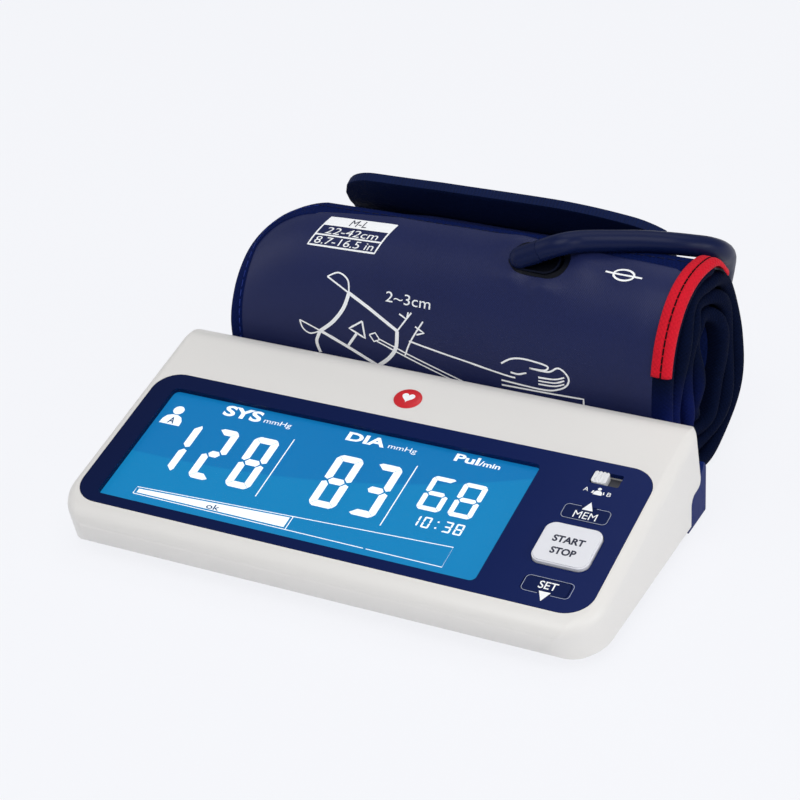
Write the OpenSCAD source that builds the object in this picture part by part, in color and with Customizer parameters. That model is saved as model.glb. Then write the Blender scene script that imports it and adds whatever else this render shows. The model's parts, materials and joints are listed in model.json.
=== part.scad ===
// Desk-top upper-arm blood pressure monitor with its rolled cuff and air hose.
// Millimetres, +Z up, -Y towards the user. The table is Z = 0 and the origin is the middle of the
// footprint of the monitor and the cuff. Lengths "along the deck" are measured on the tilted panel
// from the middle of the fascia.

/* [Housing] */
// Width of the white cover
housing_w = 167; // [163:0.5:175]
// Tilt of the deck
deck_tilt = 12.8; // [11:0.1:14]
// Height of the fascia's middle above the table
deck_h = 22.5; // [22:0.1:25]
// Radius of the front nose
front_r = 6.3; // [6:0.1:6.6]
// Start of the front nose, along the deck
front_v = 29.25; // [28.8:0.05:30]
// Radius of the rear nose
rear_r = 9.7; // [9:0.1:10.5]
// Start of the rear nose, along the deck
rear_v = 44.15; // [43.5:0.05:46]
// Radius of the cover's front corners seen from above
corner_r = 15; // [13:0.5:18]
// Radius of the cover's rear corners seen from above
rear_corner_r = 10; // [8:0.5:12]
// Radius along the cover's two side edges
side_r = 3.5; // [3:0.1:3.5]
// Wall of both shells
wall = 2.2; // [1.8:0.1:2.4]
// Thickness of the deck that carries the fascia
deck_t = 3.2; // [3:0.1:3.4]
// Parting line of cover and base, behind the fascia's middle
seam_y = 41.5; // [40.5:0.1:42]
// Concave radius of the parting line below the rear nose
seam_r = 3; // [2.5:0.1:3.5]
// Front edge of the base's opening, in front of the fascia's middle
base_front = 20.3; // [20:0.1:21]
// Radius of the base's bulged back
bulge_r = 16; // [15.5:0.1:16.5]
// Rearmost reach of the bulge behind the fascia's middle
bulge_y = 58; // [57.6:0.1:58.6]
// Height of the bulge's fullest line
bulge_h = 7; // [6.5:0.1:7.5]
// Corner radius of the base's back seen from above
bulge_corner_r = 3; // [2.8:0.1:5]
// Thickness of the base plate
floor_t = 2; // [1.9:0.1:2.2]
// Clearance between pieces that fit together
fit = 0.2; // [0.15:0.01:0.25]

/* [Fascia and display] */
// Rim of the cover left at each side of the fascia
fascia_side = 3.5; // [3.5:0.1:4.5]
// Length of the fascia along the deck
fascia_l = 55.9; // [55:0.1:57]
// Corner radius of the fascia
fascia_r = 8; // [6:0.5:10]
// Thickness of the fascia
fascia_t = 1.5; // [1.3:0.1:1.6]
// Rim of the fascia left of the display window
window_margin = 7; // [6.5:0.1:8]
// Part of the fascia right of the display window, for the keys
key_zone = 33.2; // [33:0.1:35]
// Length of the display window
window_l = 46.3; // [44:0.1:46.5]
// Corner radius of the display window
window_r = 1.8; // [1:0.1:3]
// Middle of the display window from the fascia's middle, to the rear
window_v = -1.2; // [-1.5:0.1:-0.9]
// Margin of the display glass beyond the window
glass_margin = 1.4; // [1:0.1:1.5]
// Thickness of the display glass
glass_t = 2.4; // [2.2:0.1:2.5]
// Thickness of the back light panel
light_t = 3; // [2.6:0.1:3.1]
// Thickness of the main board
board_t = 1.6; // [1.2:0.1:1.6]
// Depth of the main board's top below the deck
board_d = 10.4; // [10.2:0.1:10.6]

/* [Keys] */
// Middle of the key column from the fascia's right edge
key_inset = 14; // [13.6:0.1:14.6]
// Width of the START/STOP button
start_w = 16.6; // [15:0.1:17]
// Length of the START/STOP button
start_l = 14.9; // [14:0.1:15]
// Corner radius of the START/STOP button
start_r = 3; // [2:0.1:4]
// Height of the START/STOP button above the fascia
start_h = 1.3; // [1:0.1:2]
// Middle of the START/STOP button along the deck
start_v = -5.6; // [-5.8:0.1:-5.4]
// Travel of the START/STOP button
start_travel = 0.8; // [0.4:0.1:0.8]
// Width of the MEM and SET keys
key_w = 13.3; // [12:0.1:14]
// Length of the MEM and SET keys
key_l = 5.3; // [4.8:0.1:5.4]
// Middle of the MEM key along the deck
mem_v = 7.5; // [7.2:0.1:7.8]
// Middle of the SET key along the deck
set_v = -20.4; // [-20.6:0.1:-20.2]
// Travel of the MEM and SET keys
key_travel = 0.5; // [0.3:0.1:0.5]
// Middle of the user switch's slot along the deck
switch_v = 21.7; // [21.4:0.1:21.9]
// Width of the user switch's knob
knob_w = 4.4; // [4:0.1:4.6]
// Length of the user switch's knob along the deck
knob_l = 4.3; // [3.8:0.1:4.4]
// Travel of the user switch
switch_travel = 3.6; // [3:0.1:3.8]

/* [Power] */
// Diameter of a battery cell
cell_d = 14.2; // [13.9:0.1:14.3]
// Length of a battery cell with its nub
cell_l = 50.5; // [50:0.1:50.6]
// Length of the battery door
door_l = 26; // [25:0.5:26.5]
// Thickness of the battery door
door_t = 1.8; // [1.6:0.1:1.8]
// Diameter of a foot
foot_d = 10; // [8:0.5:12]
// Height that the feet stand out below the base
foot_h = 0.8; // [0.6:0.1:1]

/* [Air] */
// Radius of the air socket's bore
socket_bore_r = 2.1; // [1.9:0.05:2.2]
// Length of the air socket's bore
socket_bore_l = 9; // [8:0.5:9.5]
// Diameter of the pump
pump_d = 18; // [16:0.1:18.2]
// Length of the pump head
pump_head_l = 6.5; // [5:0.1:7]
// Length of the pump motor
pump_motor_l = 10.4; // [9:0.1:10.8]

/* [Cuff] */
// Width of the cuff
cuff_w = 144.7; // [140:0.5:146]
// Thickness of the cuff sheet
cuff_t = 4.4; // [4:0.1:4.6]
// Space between the wraps of the roll
wrap_gap = 0.9; // [0.7:0.1:1.2]
// Half the depth of the roll
roll_a = 23; // [22:0.1:23.5]
// Half the height of the roll
roll_b = 34.4; // [33:0.1:36]
// Number of turns in the roll
roll_turns = 3.45; // [2.5:0.05:3.5]
// Width of the binding along the cuff's edges
binding_w = 5; // [4:0.5:6]
// Width of the red tape on the right edge
tape_w = 5.2; // [4.5:0.1:6]
// Reach of the free tail above the table
tail_t = 3; // [2.5:0.1:3.2]
// Width of the free tail
tail_w = 106; // [90:1:106]

/* [Hose] */
// Diameter of the air hose
hose_d = 6.5; // [6:0.1:6.6]
// Radius of the stored coil at the middle of the hose
coil_r = 34; // [33:0.5:34]
// Length of the air plug's grip
plug_grip_l = 16; // [12:0.5:18]
// Radius of the air plug's nozzle
plug_nozzle_r = 2; // [1.8:0.05:2.1]

/* [Hidden] */
$fn = 96;
tiny = 0.01;
cut = 1;
deep = 80;

// ---- places shared by several pieces ----
// a point of the side view [back, up], at v along the deck and d below it
function deck_point(v, d) = [
    v * cos(deck_tilt) + d * sin(deck_tilt),
    deck_h + v * sin(deck_tilt) - d * cos(deck_tilt)
];
skin = 0.03;
seam_land = 0.06;
front_c = deck_point(-front_v, front_r + skin);
rear_c = deck_point(rear_v, rear_r + skin);
base_z = foot_h;
seam_c = [
    seam_y + seam_r + skin,
    rear_c[1] - sqrt(pow(rear_r + seam_r + seam_land, 2) - pow(seam_y + seam_r + skin - rear_c[0], 2))
];
inner_w = housing_w - 2 * wall;
lip_angle = 35;
bulge_c = [bulge_y - bulge_r, bulge_h];
tub_w = housing_w - 2 * 0.9;
tub_y = seam_y + 0.25;
fascia_w = housing_w - 2 * fascia_side;
window_w = fascia_w - window_margin - key_zone;
window_u = (window_margin - key_zone) / 2;
key_u = fascia_w / 2 - key_inset;

// the roll stands behind the housing: its middle, and how it leans back and drifts to the right
cuff_space = 0.6;
roll_yc = rear_c[0] + rear_r + cuff_space + roll_a - 0.7;
roll_zc = roll_b + 0.15;
roll_power = 2.3;
roll_lean = 0.03;
roll_drift = 0.135;
cuff_left = -73.4;
tail_gap = 0.9;
tail_out = roll_yc + roll_a + tail_gap + tail_t;
front_y = front_c[0] - front_r;
panel_y = -(front_y + tail_out) / 2;

glass_w = window_w + 2 * glass_margin;
glass_l = window_l + 2 * glass_margin;
glass_top = fascia_t + 0.1;
light_top = glass_top + glass_t + 0.1;
light_w = glass_w - 2.6;
light_l = glass_l - 3.4;
light_v = window_v - 0.8;
holder_wall = 1.2;
holder_w = glass_w + 0.4 + 2 * holder_wall;
holder_l = glass_l + 0.4 + 2 * holder_wall;
holder_bottom = light_top + light_t + 1.4;
board_bottom = board_d + board_t;
board_left = -(housing_w / 2 - 13.5);
board_right = housing_w / 2 - 10.5;
board_front = -23;
board_rear = 24.3;
strip_l = 1.3;
strip_v = window_v + glass_l / 2 - 1;
post_r = 2.2;
screw_left = board_left + 4;
screw_right = window_u + window_w / 2 + 6.9;
board_screws = [[screw_left, -17.5], [screw_left, 17.5], [screw_right, -17.5], [screw_right, 14.2]];
chip_w = 14;
chip_small = [6, 5];
chip_t = 1.6;
capacitor_r = 1.5;
capacitor_l = 8;
tact_w = 5;
key_flange = 0.8;
flange_top = deck_t + 0.2;
flange_t = 0.9;
stem_bottom = 7;
switch_top = stem_bottom + max(start_travel, key_travel) + 0.3;
slot_w = knob_w + switch_travel + 0.6;
slot_l = knob_l + 0.5;
slot_u = key_u + 0.4;
knob_u = slot_u - slot_w / 2 + knob_w / 2 + 0.3;
shutter_t = 0.7;
shutter_w = 2 * slot_w - knob_w + 1;

cell_r = cell_d / 2;
cell_z = base_z + door_t + 0.3 + cell_r;
cell_pitch = cell_d + 0.25;
cell_rear_y = bulge_c[0] + 5.3;
cell_front_y = cell_rear_y - cell_pitch;
nub_l = 1;
nub_r = 2.75;
contact_t = 0.5;
spring_l = 3.8;
bay_half = cell_l + (spring_l + 2 * contact_t) / 2;
bay_wall = 1.2;
door_half = cell_l + 1.1;
door_rear = cell_rear_y + 5.9;
door_hinge = [door_rear - door_l, base_z + door_t / 2];
hinge_r = door_t / 2;
hinge_pin_r = 0.6;
hinge_pin_l = 1.3;
bay_front = cell_front_y - cell_r - 0.35;

boss_u = housing_w / 2 - 5.1;
boss_r = 2.4;
rim_t = 1.6;
rim_h = 2;
boss_ys = [-15, 14.5];
screw_r = 1.1;
foot_u = housing_w / 2 - 15.5;
foot_places = [[-foot_u, -13], [foot_u, -13], [-foot_u, 49.5], [foot_u, 49.5]];

pump_u = bay_half + bay_wall + 0.4 + pump_d / 2;
pump_z = base_z + floor_t + 1.9 + pump_d / 2;
pump_y = 27.2;
line_r = 1.6;
line_y = 20;
line_z = 7;
nozzle_r = 1.2;
branch_u = -(bay_half + bay_wall + 5.3);
valve_u = branch_u - 7.8;
valve_y = 27;
valve_l = 14;
valve_r = 4.8;
socket_y = 48.8;
socket_z = 7;
socket_r = 3;
socket_face = -(tub_w / 2 - 0.5);
socket_l = socket_bore_l + 2.4;
sensor_at = [board_left + 20, 9.5];
jack_u = housing_w / 2 - 13.5;
jack_z = 6.9;
jack_barrel_r = 3.2;
jack_hole_r = 2.8;
jack_face = bulge_y - 0.5;

// ---- helpers ----
module body_frame() {
    translate([0, panel_y, 0]) children();
}
module deck_frame() {
    translate([0, panel_y, deck_h]) rotate([deck_tilt, 0, 0]) children();
}
// extrudes a side view [back, up] over a width w
module across(w) {
    rotate([90, 0, 90]) translate([0, 0, -w / 2]) linear_extrude(w) children();
}
module rounded_rect(w, l, r) {
    square([w - 2 * r, l], center = true);
    square([w, l - 2 * r], center = true);
    for (sx = [-1, 1], sy = [-1, 1]) {
        translate([sx * (w / 2 - r), sy * (l / 2 - r)]) circle(r);
    }
}
// a plate with round corners whose top lies d below the deck
module plate(u, v, w, l, r, d, t) {
    translate([u, v, -d - t]) linear_extrude(t) rounded_rect(w, l, r);
}
// a round rod between two points of one axis-parallel line
module rod(from, to, r) {
    way = to - from;
    length = norm(way);
    turn = [0, acos(way[2] / length), atan2(way[1], way[0])];
    translate(from) rotate(turn) cylinder(h = length, r = r);
}

// ---- housing outlines ----
// side view of the cover, grown outwards by grow
module cover_outline(grow) {
    foot = front_c[1] - front_r - grow + skin;
    nose_way = (seam_c - rear_c) / norm(seam_c - rear_c);
    difference() {
        union() {
            translate(front_c) circle(front_r + grow);
            translate(rear_c) circle(rear_r + grow);
            polygon([
                deck_point(-front_v, -grow),
                deck_point(rear_v, -grow),
                rear_c,
                rear_c + nose_way * (rear_r + grow - tiny),
                seam_c,
                [seam_y + grow, seam_c[1] - skin],
                [seam_y + grow, foot],
                [front_c[0], foot]
            ]);
        }
        translate(seam_c) circle(seam_r - grow);
    }
}
module cover_cavity() {
    translate(front_c) circle(front_r - wall);
    translate(rear_c) circle(rear_r - wall);
    polygon([
        deck_point(-front_v + 0.5, deck_t),
        deck_point(rear_v, deck_t),
        rear_c,
        rear_c + 2 * rear_r * [cos(lip_angle), -sin(lip_angle)],
        [rear_c[0] + 2 * rear_r, -cut],
        [-base_front, -cut],
        [-base_front, front_c[1] - front_r + wall + skin],
        [front_c[0], front_c[1] - front_r + wall + skin]
    ]);
}
// the deck as a block with round side edges and round corners
module deck_block(half, inset) {
    v0 = -front_v - front_r + inset - 2 * skin;
    v1 = rear_v + rear_r - inset + 2 * skin;
    rf = corner_r - inset;
    rr = rear_corner_r - inset;
    edge = max(side_r - inset, 0.8);
    translate([0, 0, skin - inset]) {
        for (sx = [-1, 1]) {
            translate([sx * (half - rf), v0 + rf, 0]) deck_corner(rf, edge);
            translate([sx * (half - rr), v1 - rr, 0]) deck_corner(rr, edge);
        }
        // from side to side, between the four corners
        translate([0, v1 - rr, 0]) rotate([90, 0, 0]) linear_extrude(v1 - v0 - rf - rr) {
            translate([-half + edge, -deep]) square([2 * (half - edge), deep]);
            translate([-half, -deep]) square([2 * half, deep - edge]);
            for (sx = [-1, 1]) translate([sx * (half - edge), -edge]) circle(edge);
        }
        // up to the front edge, and up to the rear edge
        across(2 * (half - rf)) {
            translate([v0 + edge, -deep]) square([v1 - v0 - 2 * edge, deep]);
            translate([v0, -deep]) square([v1 - v0 - edge, deep - edge]);
            translate([v0 + edge, -edge]) circle(edge);
        }
        across(2 * (half - rr)) {
            translate([v0 + rf + 1, -deep]) square([v1 - v0 - rf - 1 - edge, deep]);
            translate([v0 + rf + 1, -deep]) square([v1 - v0 - rf - 1, deep - edge]);
            translate([v1 - edge, -edge]) circle(edge);
        }
    }
}
module deck_corner(r, edge) {
    rotate_extrude() {
        translate([0, -deep]) square([r - edge, deep]);
        translate([0, -deep]) square([r, deep - edge]);
        translate([r - edge, -edge]) circle(edge);
    }
}
module key_opening(v, w, l, r, gap) {
    translate([key_u, v, -deck_t - cut]) linear_extrude(deck_t + 2 * cut)
        rounded_rect(w + 2 * gap, l + 2 * gap, r + gap);
}
module key_openings(gap) {
    key_opening(start_v, start_w, start_l, start_r, gap);
    key_opening(mem_v, key_w, key_l, 1.3, gap);
    key_opening(set_v, key_w, key_l, 1.3, gap);
}

// ---- housing ----
module top_cover() {
    color([0.86, 0.86, 0.85]) difference() {
        union() {
            difference() {
                intersection() {
                    body_frame() across(housing_w + 2) cover_outline(0);
                    deck_frame() deck_block(housing_w / 2, 0);
                }
                intersection() {
                    body_frame() across(inner_w + 2) cover_cavity();
                    deck_frame() deck_block(inner_w / 2, wall);
                }
            }
            for (sx = [-1, 1], y = boss_ys) {
                translate([sx * boss_u, panel_y + y, base_z + floor_t])
                    cylinder(h = deck_h + y * tan(deck_tilt) - deck_t / 2 - base_z - floor_t, r = boss_r);
            }
            deck_frame() for (p = board_screws) if (p[0] > 0) {
                translate([p[0], p[1], -board_d]) cylinder(h = board_d - deck_t / 2, r = post_r);
            }
        }
        for (sx = [-1, 1], y = boss_ys) {
            translate([sx * boss_u, panel_y + y, 0]) cylinder(h = base_z + floor_t + 8, r = screw_r + 0.1);
        }
        deck_frame() {
            plate(0, 0, fascia_w + fit, fascia_l + fit, fascia_r + fit / 2, -cut, fascia_t + cut);
            plate(window_u, window_v, glass_w + fit, glass_l + fit, 1, -cut, deck_t + 2 * cut);
            key_openings(0.3);
            plate(slot_u, switch_v, 2 * slot_w - knob_w + switch_travel + 2, slot_l, 0.5, 0, fascia_t + 1);
            plate(slot_u, switch_v, slot_w, 2.6, 0.6, 0, deck_t + cut);
            for (p = board_screws) if (p[0] > 0) {
                translate([p[0], p[1], -board_d - cut]) cylinder(h = 5, r = 0.85);
            }
        }
    }
}

module base_shell() {
    color([0.07, 0.12, 0.34]) body_frame() difference() {
        union() {
            // floor plate inside the cover
            translate([0, 0, base_z]) linear_extrude(floor_t) base_plan(tub_y, 0);
            // bulged back, from the parting line to the rear
            difference() {
                tub_form(0);
                tub_form(wall);
            }
            // upstand that locates the base inside the cover, open round the screw bosses
            difference() {
                translate([0, 0, base_z + floor_t - tiny]) linear_extrude(rim_h) difference() {
                    base_plan(seam_y - 1, 0);
                    base_plan(seam_y, rim_t);
                }
                for (sx = [-1, 1], y = boss_ys) translate([sx * boss_u, y, 0]) cylinder(h = deep, r = boss_r + 0.4);
            }
            battery_bay();
            pump_saddles();
        }
        // battery opening
        translate([-door_half - 0.4, door_hinge[0] - hinge_r - 0.3, -cut])
            cube([2 * door_half + 0.8, door_rear - door_hinge[0] + hinge_r + 0.7, cut + base_z + floor_t + tiny]);
        translate([-door_half - hinge_pin_l - 0.4, door_hinge[0], door_hinge[1]]) rotate([0, 90, 0])
            cylinder(h = 2 * (door_half + hinge_pin_l + 0.4), r = hinge_pin_r + 0.15);
        for (p = foot_places) {
            translate([p[0], p[1], -cut]) cylinder(h = cut + base_z + 0.8, r = foot_d / 2 + 0.1);
        }
        for (sx = [-1, 1], y = boss_ys) {
            translate([sx * boss_u, y, -cut]) cylinder(h = cut + base_z + floor_t + cut, r = screw_r + 0.1);
            translate([sx * boss_u, y, -cut]) cylinder(h = cut + base_z + 1.1, r = 2.3);
        }
        translate([socket_face - cut, socket_y, socket_z]) rotate([0, 90, 0])
            cylinder(h = 8, r = socket_r + 0.1);
        translate([jack_u, jack_face + 3, jack_z]) rotate([90, 0, 0])
            cylinder(h = 8, r = jack_barrel_r + 0.1);
    }
}
module base_plan(rear, inset) {
    half_w = inner_w / 2 - fit - inset;
    front = -base_front + fit + inset;
    r = 5 - inset;
    translate([-half_w, front + r]) square([2 * half_w, rear - front - r]);
    translate([-half_w + r, front]) square([2 * (half_w - r), rear - front]);
    for (sx = [-1, 1]) translate([sx * (half_w - r), front + r]) circle(r);
}
module tub_form(inset) {
    half = tub_w / 2 - inset;
    r = bulge_corner_r - inset;
    rear = bulge_y - inset;
    front = tub_y - inset * 2;
    intersection() {
        across(2 * half) difference() {
            intersection() {
                translate(bulge_c) circle(bulge_r - inset);
                translate([front, base_z + (inset > 0 ? floor_t : 0)]) square(deep);
            }
            if (inset == 0) cover_outline(0.25);
        }
        translate([0, 0, -cut]) linear_extrude(deep) {
            translate([-half, front]) square([2 * half, rear - r - front]);
            translate([-half + r, front]) square([2 * (half - r), rear - front]);
            for (sx = [-1, 1]) translate([sx * (half - r), rear - r]) circle(r);
        }
    }
}
// side view of the battery bay, whose front wall leans back under the main board
module bay_profile(grow) {
    roof_z = cell_z + cell_r + 0.4 + grow;
    front = bay_front - grow;
    polygon([
        [front, base_z + floor_t - tiny], [front, base_z + 11.6 + grow / 2], [front + 5, roof_z],
        [rear_c[0] + 4.5, roof_z], [rear_c[0] + 4.5, base_z + floor_t - tiny]
    ]);
}
module battery_bay() {
    difference() {
        across(2 * (bay_half + bay_wall)) intersection() {
            bay_profile(bay_wall);
            union() {
                square([rear_c[0], deep]);
                translate(bulge_c) circle(bulge_r - wall + tiny);
            }
        }
        across(2 * bay_half) bay_profile(0);
    }
    // rib that keeps the two rows of cells apart under the roof
    translate([-bay_half, (cell_front_y + cell_rear_y) / 2 - 0.4, cell_z + cell_r - 2.2])
        cube([2 * bay_half, 0.8, 2.8]);
}
module pump_saddles() {
    for (y = [pump_y + 2, pump_y + pump_head_l + pump_motor_l - 3]) {
        difference() {
            translate([pump_u - 7, y - 0.8, base_z + floor_t - tiny]) cube([14, 1.6, 6]);
            translate([pump_u, y - cut - 0.8, pump_z]) rotate([-90, 0, 0])
                cylinder(h = 1.6 + 2 * cut, r = pump_d / 2 + 0.15);
        }
    }
}

module display_fascia() {
    color([0.05, 0.1, 0.27]) deck_frame() difference() {
        plate(0, 0, fascia_w, fascia_l, fascia_r, -0.1, fascia_t + 0.1 - tiny);
        plate(window_u, window_v, window_w, window_l, window_r, -cut, fascia_t + 2 * cut);
        key_openings(fit);
        plate(slot_u, switch_v, slot_w, slot_l, 0.6, -cut, fascia_t + 2 * cut);
    }
}
module display_window() {
    color([0.5, 0.75, 0.9, 0.35]) deck_frame()
        plate(window_u, window_v, window_w - 0.1, window_l - 0.1, window_r, -0.1, fascia_t + 0.1 - tiny);
}
module lcd_glass() {
    color([0.07, 0.54, 0.78]) deck_frame() difference() {
        plate(window_u, window_v, glass_w, glass_l, 0.8, glass_top, glass_t);
        // ledge of the lower glass where the connector strip meets it
        translate([window_u - glass_w / 2 - cut, window_v + glass_l / 2 - 2.2, -glass_top - glass_t / 2])
            cube([glass_w + 2 * cut, 3, glass_t]);
    }
}
module backlight_panel() {
    color([0.85, 0.92, 0.98]) deck_frame()
        plate(window_u, light_v, light_w, light_l, 1, light_top, light_t);
}
module lcd_frame() {
    color([0.9, 0.9, 0.88]) deck_frame() difference() {
        union() {
            plate(window_u, window_v, holder_w, holder_l, 1.5, deck_t + 0.02, holder_bottom - deck_t);
            for (p = board_screws) if (p[0] < 0) {
                translate([p[0], p[1], -board_d]) cylinder(h = board_d - holder_bottom + 0.2, r = post_r);
            }
        }
        plate(window_u, window_v, glass_w + 0.3, glass_l + 0.3, 1, 0, light_top + tiny);
        plate(window_u, light_v, light_w + 0.3, light_l + 0.3, 1.1, 0, light_top + light_t + 0.1);
        plate(window_u, strip_v, light_w - 18, strip_l + 0.3, 0.4, 0, deep);
        // windows in the holder's floor
        for (i = [-1, 0, 1]) {
            plate(window_u + i * light_w * 0.31, light_v, light_w * 0.27, light_l * 0.62, 2, 0, deep);
        }
        for (p = board_screws) if (p[0] < 0) {
            translate([p[0], p[1], -board_d - cut]) cylinder(h = 3.6, r = 0.85);
        }
    }
}
module connector_strip() {
    color([0.9, 0.5, 0.6]) deck_frame()
        translate([window_u - light_w / 2 + 10, strip_v - strip_l / 2, -board_d])
            cube([light_w - 20, strip_l, board_d - glass_top - glass_t]);
}
module main_board() {
    color([0.1, 0.4, 0.2]) deck_frame() difference() {
        translate([board_left, board_front, -board_bottom])
            cube([board_right - board_left, board_rear - board_front, board_t]);
        // the board steps back left of the switch, in front of the battery bay
        translate([board_left - cut, board_rear - 0.9, -board_bottom - cut])
            cube([slot_u - 8 - board_left + cut, 2, board_t + 2 * cut]);
        for (p = board_screws) translate([p[0], p[1], -board_bottom - cut]) cylinder(h = 4, r = 1.1);
    }
}
module board_chips() {
    color([0.12, 0.12, 0.13]) deck_frame() {
        translate([-20, -2, -board_bottom - chip_t]) linear_extrude(chip_t) rounded_rect(chip_w, chip_w, 0.6);
        translate([38, 4, -board_bottom - 1.4]) linear_extrude(1.4) rounded_rect(chip_small[0], chip_small[1], 0.3);
        for (u = [-38, -34]) translate([u, -8, -board_bottom - 1.2]) linear_extrude(1.2) rounded_rect(2, 3, 0.2);
        translate([2, -12, -board_bottom - capacitor_r - 0.02]) rotate([0, 90, 0])
            cylinder(h = capacitor_l, r = capacitor_r);
    }
}
module tact_switches() {
    color([0.75, 0.75, 0.72]) deck_frame() for (v = [start_v, mem_v, set_v]) {
        translate([key_u, v, -board_d]) {
            linear_extrude(board_d - switch_top - 0.6) square(tact_w, center = true);
            cylinder(h = board_d - switch_top, r = 1.5);
        }
    }
}
module slide_switch_body() {
    color([0.72, 0.72, 0.7]) deck_frame() difference() {
        plate(slot_u, switch_v, slot_w + 2.4, 4.2, 0.3, 7.4, board_d - 7.4);
        plate(slot_u, switch_v, slot_w - 1.4, 2, 0.3, 0, 8.6);
    }
}
module buzzer() {
    color([0.1, 0.1, 0.1]) deck_frame() translate([20, 0, -board_bottom - 3.4]) difference() {
        cylinder(h = 3.4, r = 6);
        translate([0, 0, -cut]) cylinder(h = cut + 0.6, r = 0.8);
    }
}

// ---- keys and switch ----
module push_key(v, w, l, r, proud, edge) {
    deck_frame() {
        plate(key_u, v, w, l, r, -proud + edge, proud - edge + flange_top + tiny);
        plate(key_u, v, w - 2 * edge, l - 2 * edge, r - edge / 2, -proud, edge + tiny);
        plate(key_u, v, w + 2 * key_flange, l + 2 * key_flange, r, flange_top, flange_t);
        translate([key_u, v, -stem_bottom]) cylinder(h = stem_bottom - flange_top - flange_t + tiny, r = 1.4);
    }
}
module start_stop_button() {
    color([0.9, 0.9, 0.92]) push_key(start_v, start_w, start_l, start_r, start_h, 0.3);
}
module mem_key() {
    color([0.05, 0.1, 0.3]) push_key(mem_v, key_w, key_l, 1.3, 0.1, 0.1);
}
module set_key() {
    color([0.05, 0.1, 0.3]) push_key(set_v, key_w, key_l, 1.3, 0.1, 0.1);
}
module user_switch_knob() {
    color([0.9, 0.9, 0.9]) deck_frame() difference() {
        union() {
            plate(knob_u, switch_v, knob_w, knob_l, 0.8, -0.5, fascia_t + 0.8);
            plate(knob_u, switch_v, 2.6, 1.6, 0.4, 0, 8);
        }
        for (i = [-1, 0, 1]) {
            translate([knob_u + i * 1.1 - 0.2, switch_v - knob_l / 2 - cut, 0.25]) cube([0.4, knob_l + 2 * cut, cut]);
        }
    }
}
module switch_shutter() {
    color([0.16, 0.16, 0.18]) deck_frame() difference() {
        plate(knob_u, switch_v, shutter_w, knob_l, 0.4, fascia_t + 0.3, shutter_t - 0.1);
        plate(knob_u, switch_v, 2.7, 1.7, 0.4, 0, 8);
    }
}

// ---- power ----
module battery_cells() {
    color([0.75, 0.5, 0.2]) body_frame() for (row = [0, 1]) {
        y = row == 0 ? cell_front_y : cell_rear_y;
        way = row == 0 ? 1 : -1;
        for (i = [0, 1]) {
            start = way * (-bay_half + contact_t + spring_l + i * cell_l);
            translate([start, y, cell_z]) rotate([0, way * 90, 0]) {
                cylinder(h = cell_l - nub_l, r = cell_r - 0.1);
                cylinder(h = cell_l - tiny, r = nub_r);
            }
        }
    }
}
module battery_contacts() {
    color([0.8, 0.8, 0.82]) body_frame() {
        for (row = [0, 1]) {
            y = row == 0 ? cell_front_y : cell_rear_y;
            way = row == 0 ? 1 : -1;
            translate([-way * (bay_half - contact_t / 2), y, cell_z]) cube([contact_t, 9, 9], center = true);
            translate([way * (bay_half - contact_t / 2), y, cell_z]) cube([contact_t, 9, 9], center = true);
            translate([-way * (bay_half - contact_t), y, cell_z]) rotate([0, way * 90, 0])
                cone_spring(spring_l - tiny);
        }
        translate([bay_half - contact_t / 2, (cell_front_y + cell_rear_y) / 2, cell_z])
            cube([contact_t, 8, 4], center = true);
    }
}
// a pressed spring drawn as its stack of rings
module cone_spring(length) {
    rings = 4;
    for (i = [0 : rings - 1]) {
        translate([0, 0, i * length / rings]) difference() {
            cylinder(h = length / rings + (i < rings - 1 ? tiny : 0), r = 3.6 - i * 0.4);
            translate([0, 0, -cut]) cylinder(h = length + 2 * cut, r = 2.2 - i * 0.2);
        }
    }
}
module battery_door() {
    color([0.07, 0.12, 0.34]) body_frame() {
        difference() {
            translate([-door_half, door_hinge[0], base_z]) cube([2 * door_half, door_rear - door_hinge[0], door_t]);
            // finger grooves of the latch
            for (i = [0 : 3]) translate([-12, door_rear - 4 - i * 1.8, base_z - cut]) cube([24, 0.8, cut + 0.5]);
        }
        translate([-door_half, door_hinge[0], door_hinge[1]]) rotate([0, 90, 0])
            cylinder(h = 2 * door_half, r = hinge_r);
        translate([-door_half - hinge_pin_l, door_hinge[0], door_hinge[1]]) rotate([0, 90, 0])
            cylinder(h = 2 * (door_half + hinge_pin_l), r = hinge_pin_r);
    }
}
module dc_jack() {
    color([0.1, 0.1, 0.1]) body_frame() translate([jack_u, jack_face, jack_z]) rotate([90, 0, 0]) difference() {
        union() {
            translate([-3.9, -4, 4.9]) cube([7.8, 8, 6.6]);
            cylinder(h = 11, r = jack_barrel_r);
        }
        difference() {
            translate([0, 0, -cut]) cylinder(h = 9 + cut, r = jack_hole_r);
            translate([0, 0, 0.6]) cylinder(h = 9.4, r = 0.65);
        }
    }
}

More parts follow.
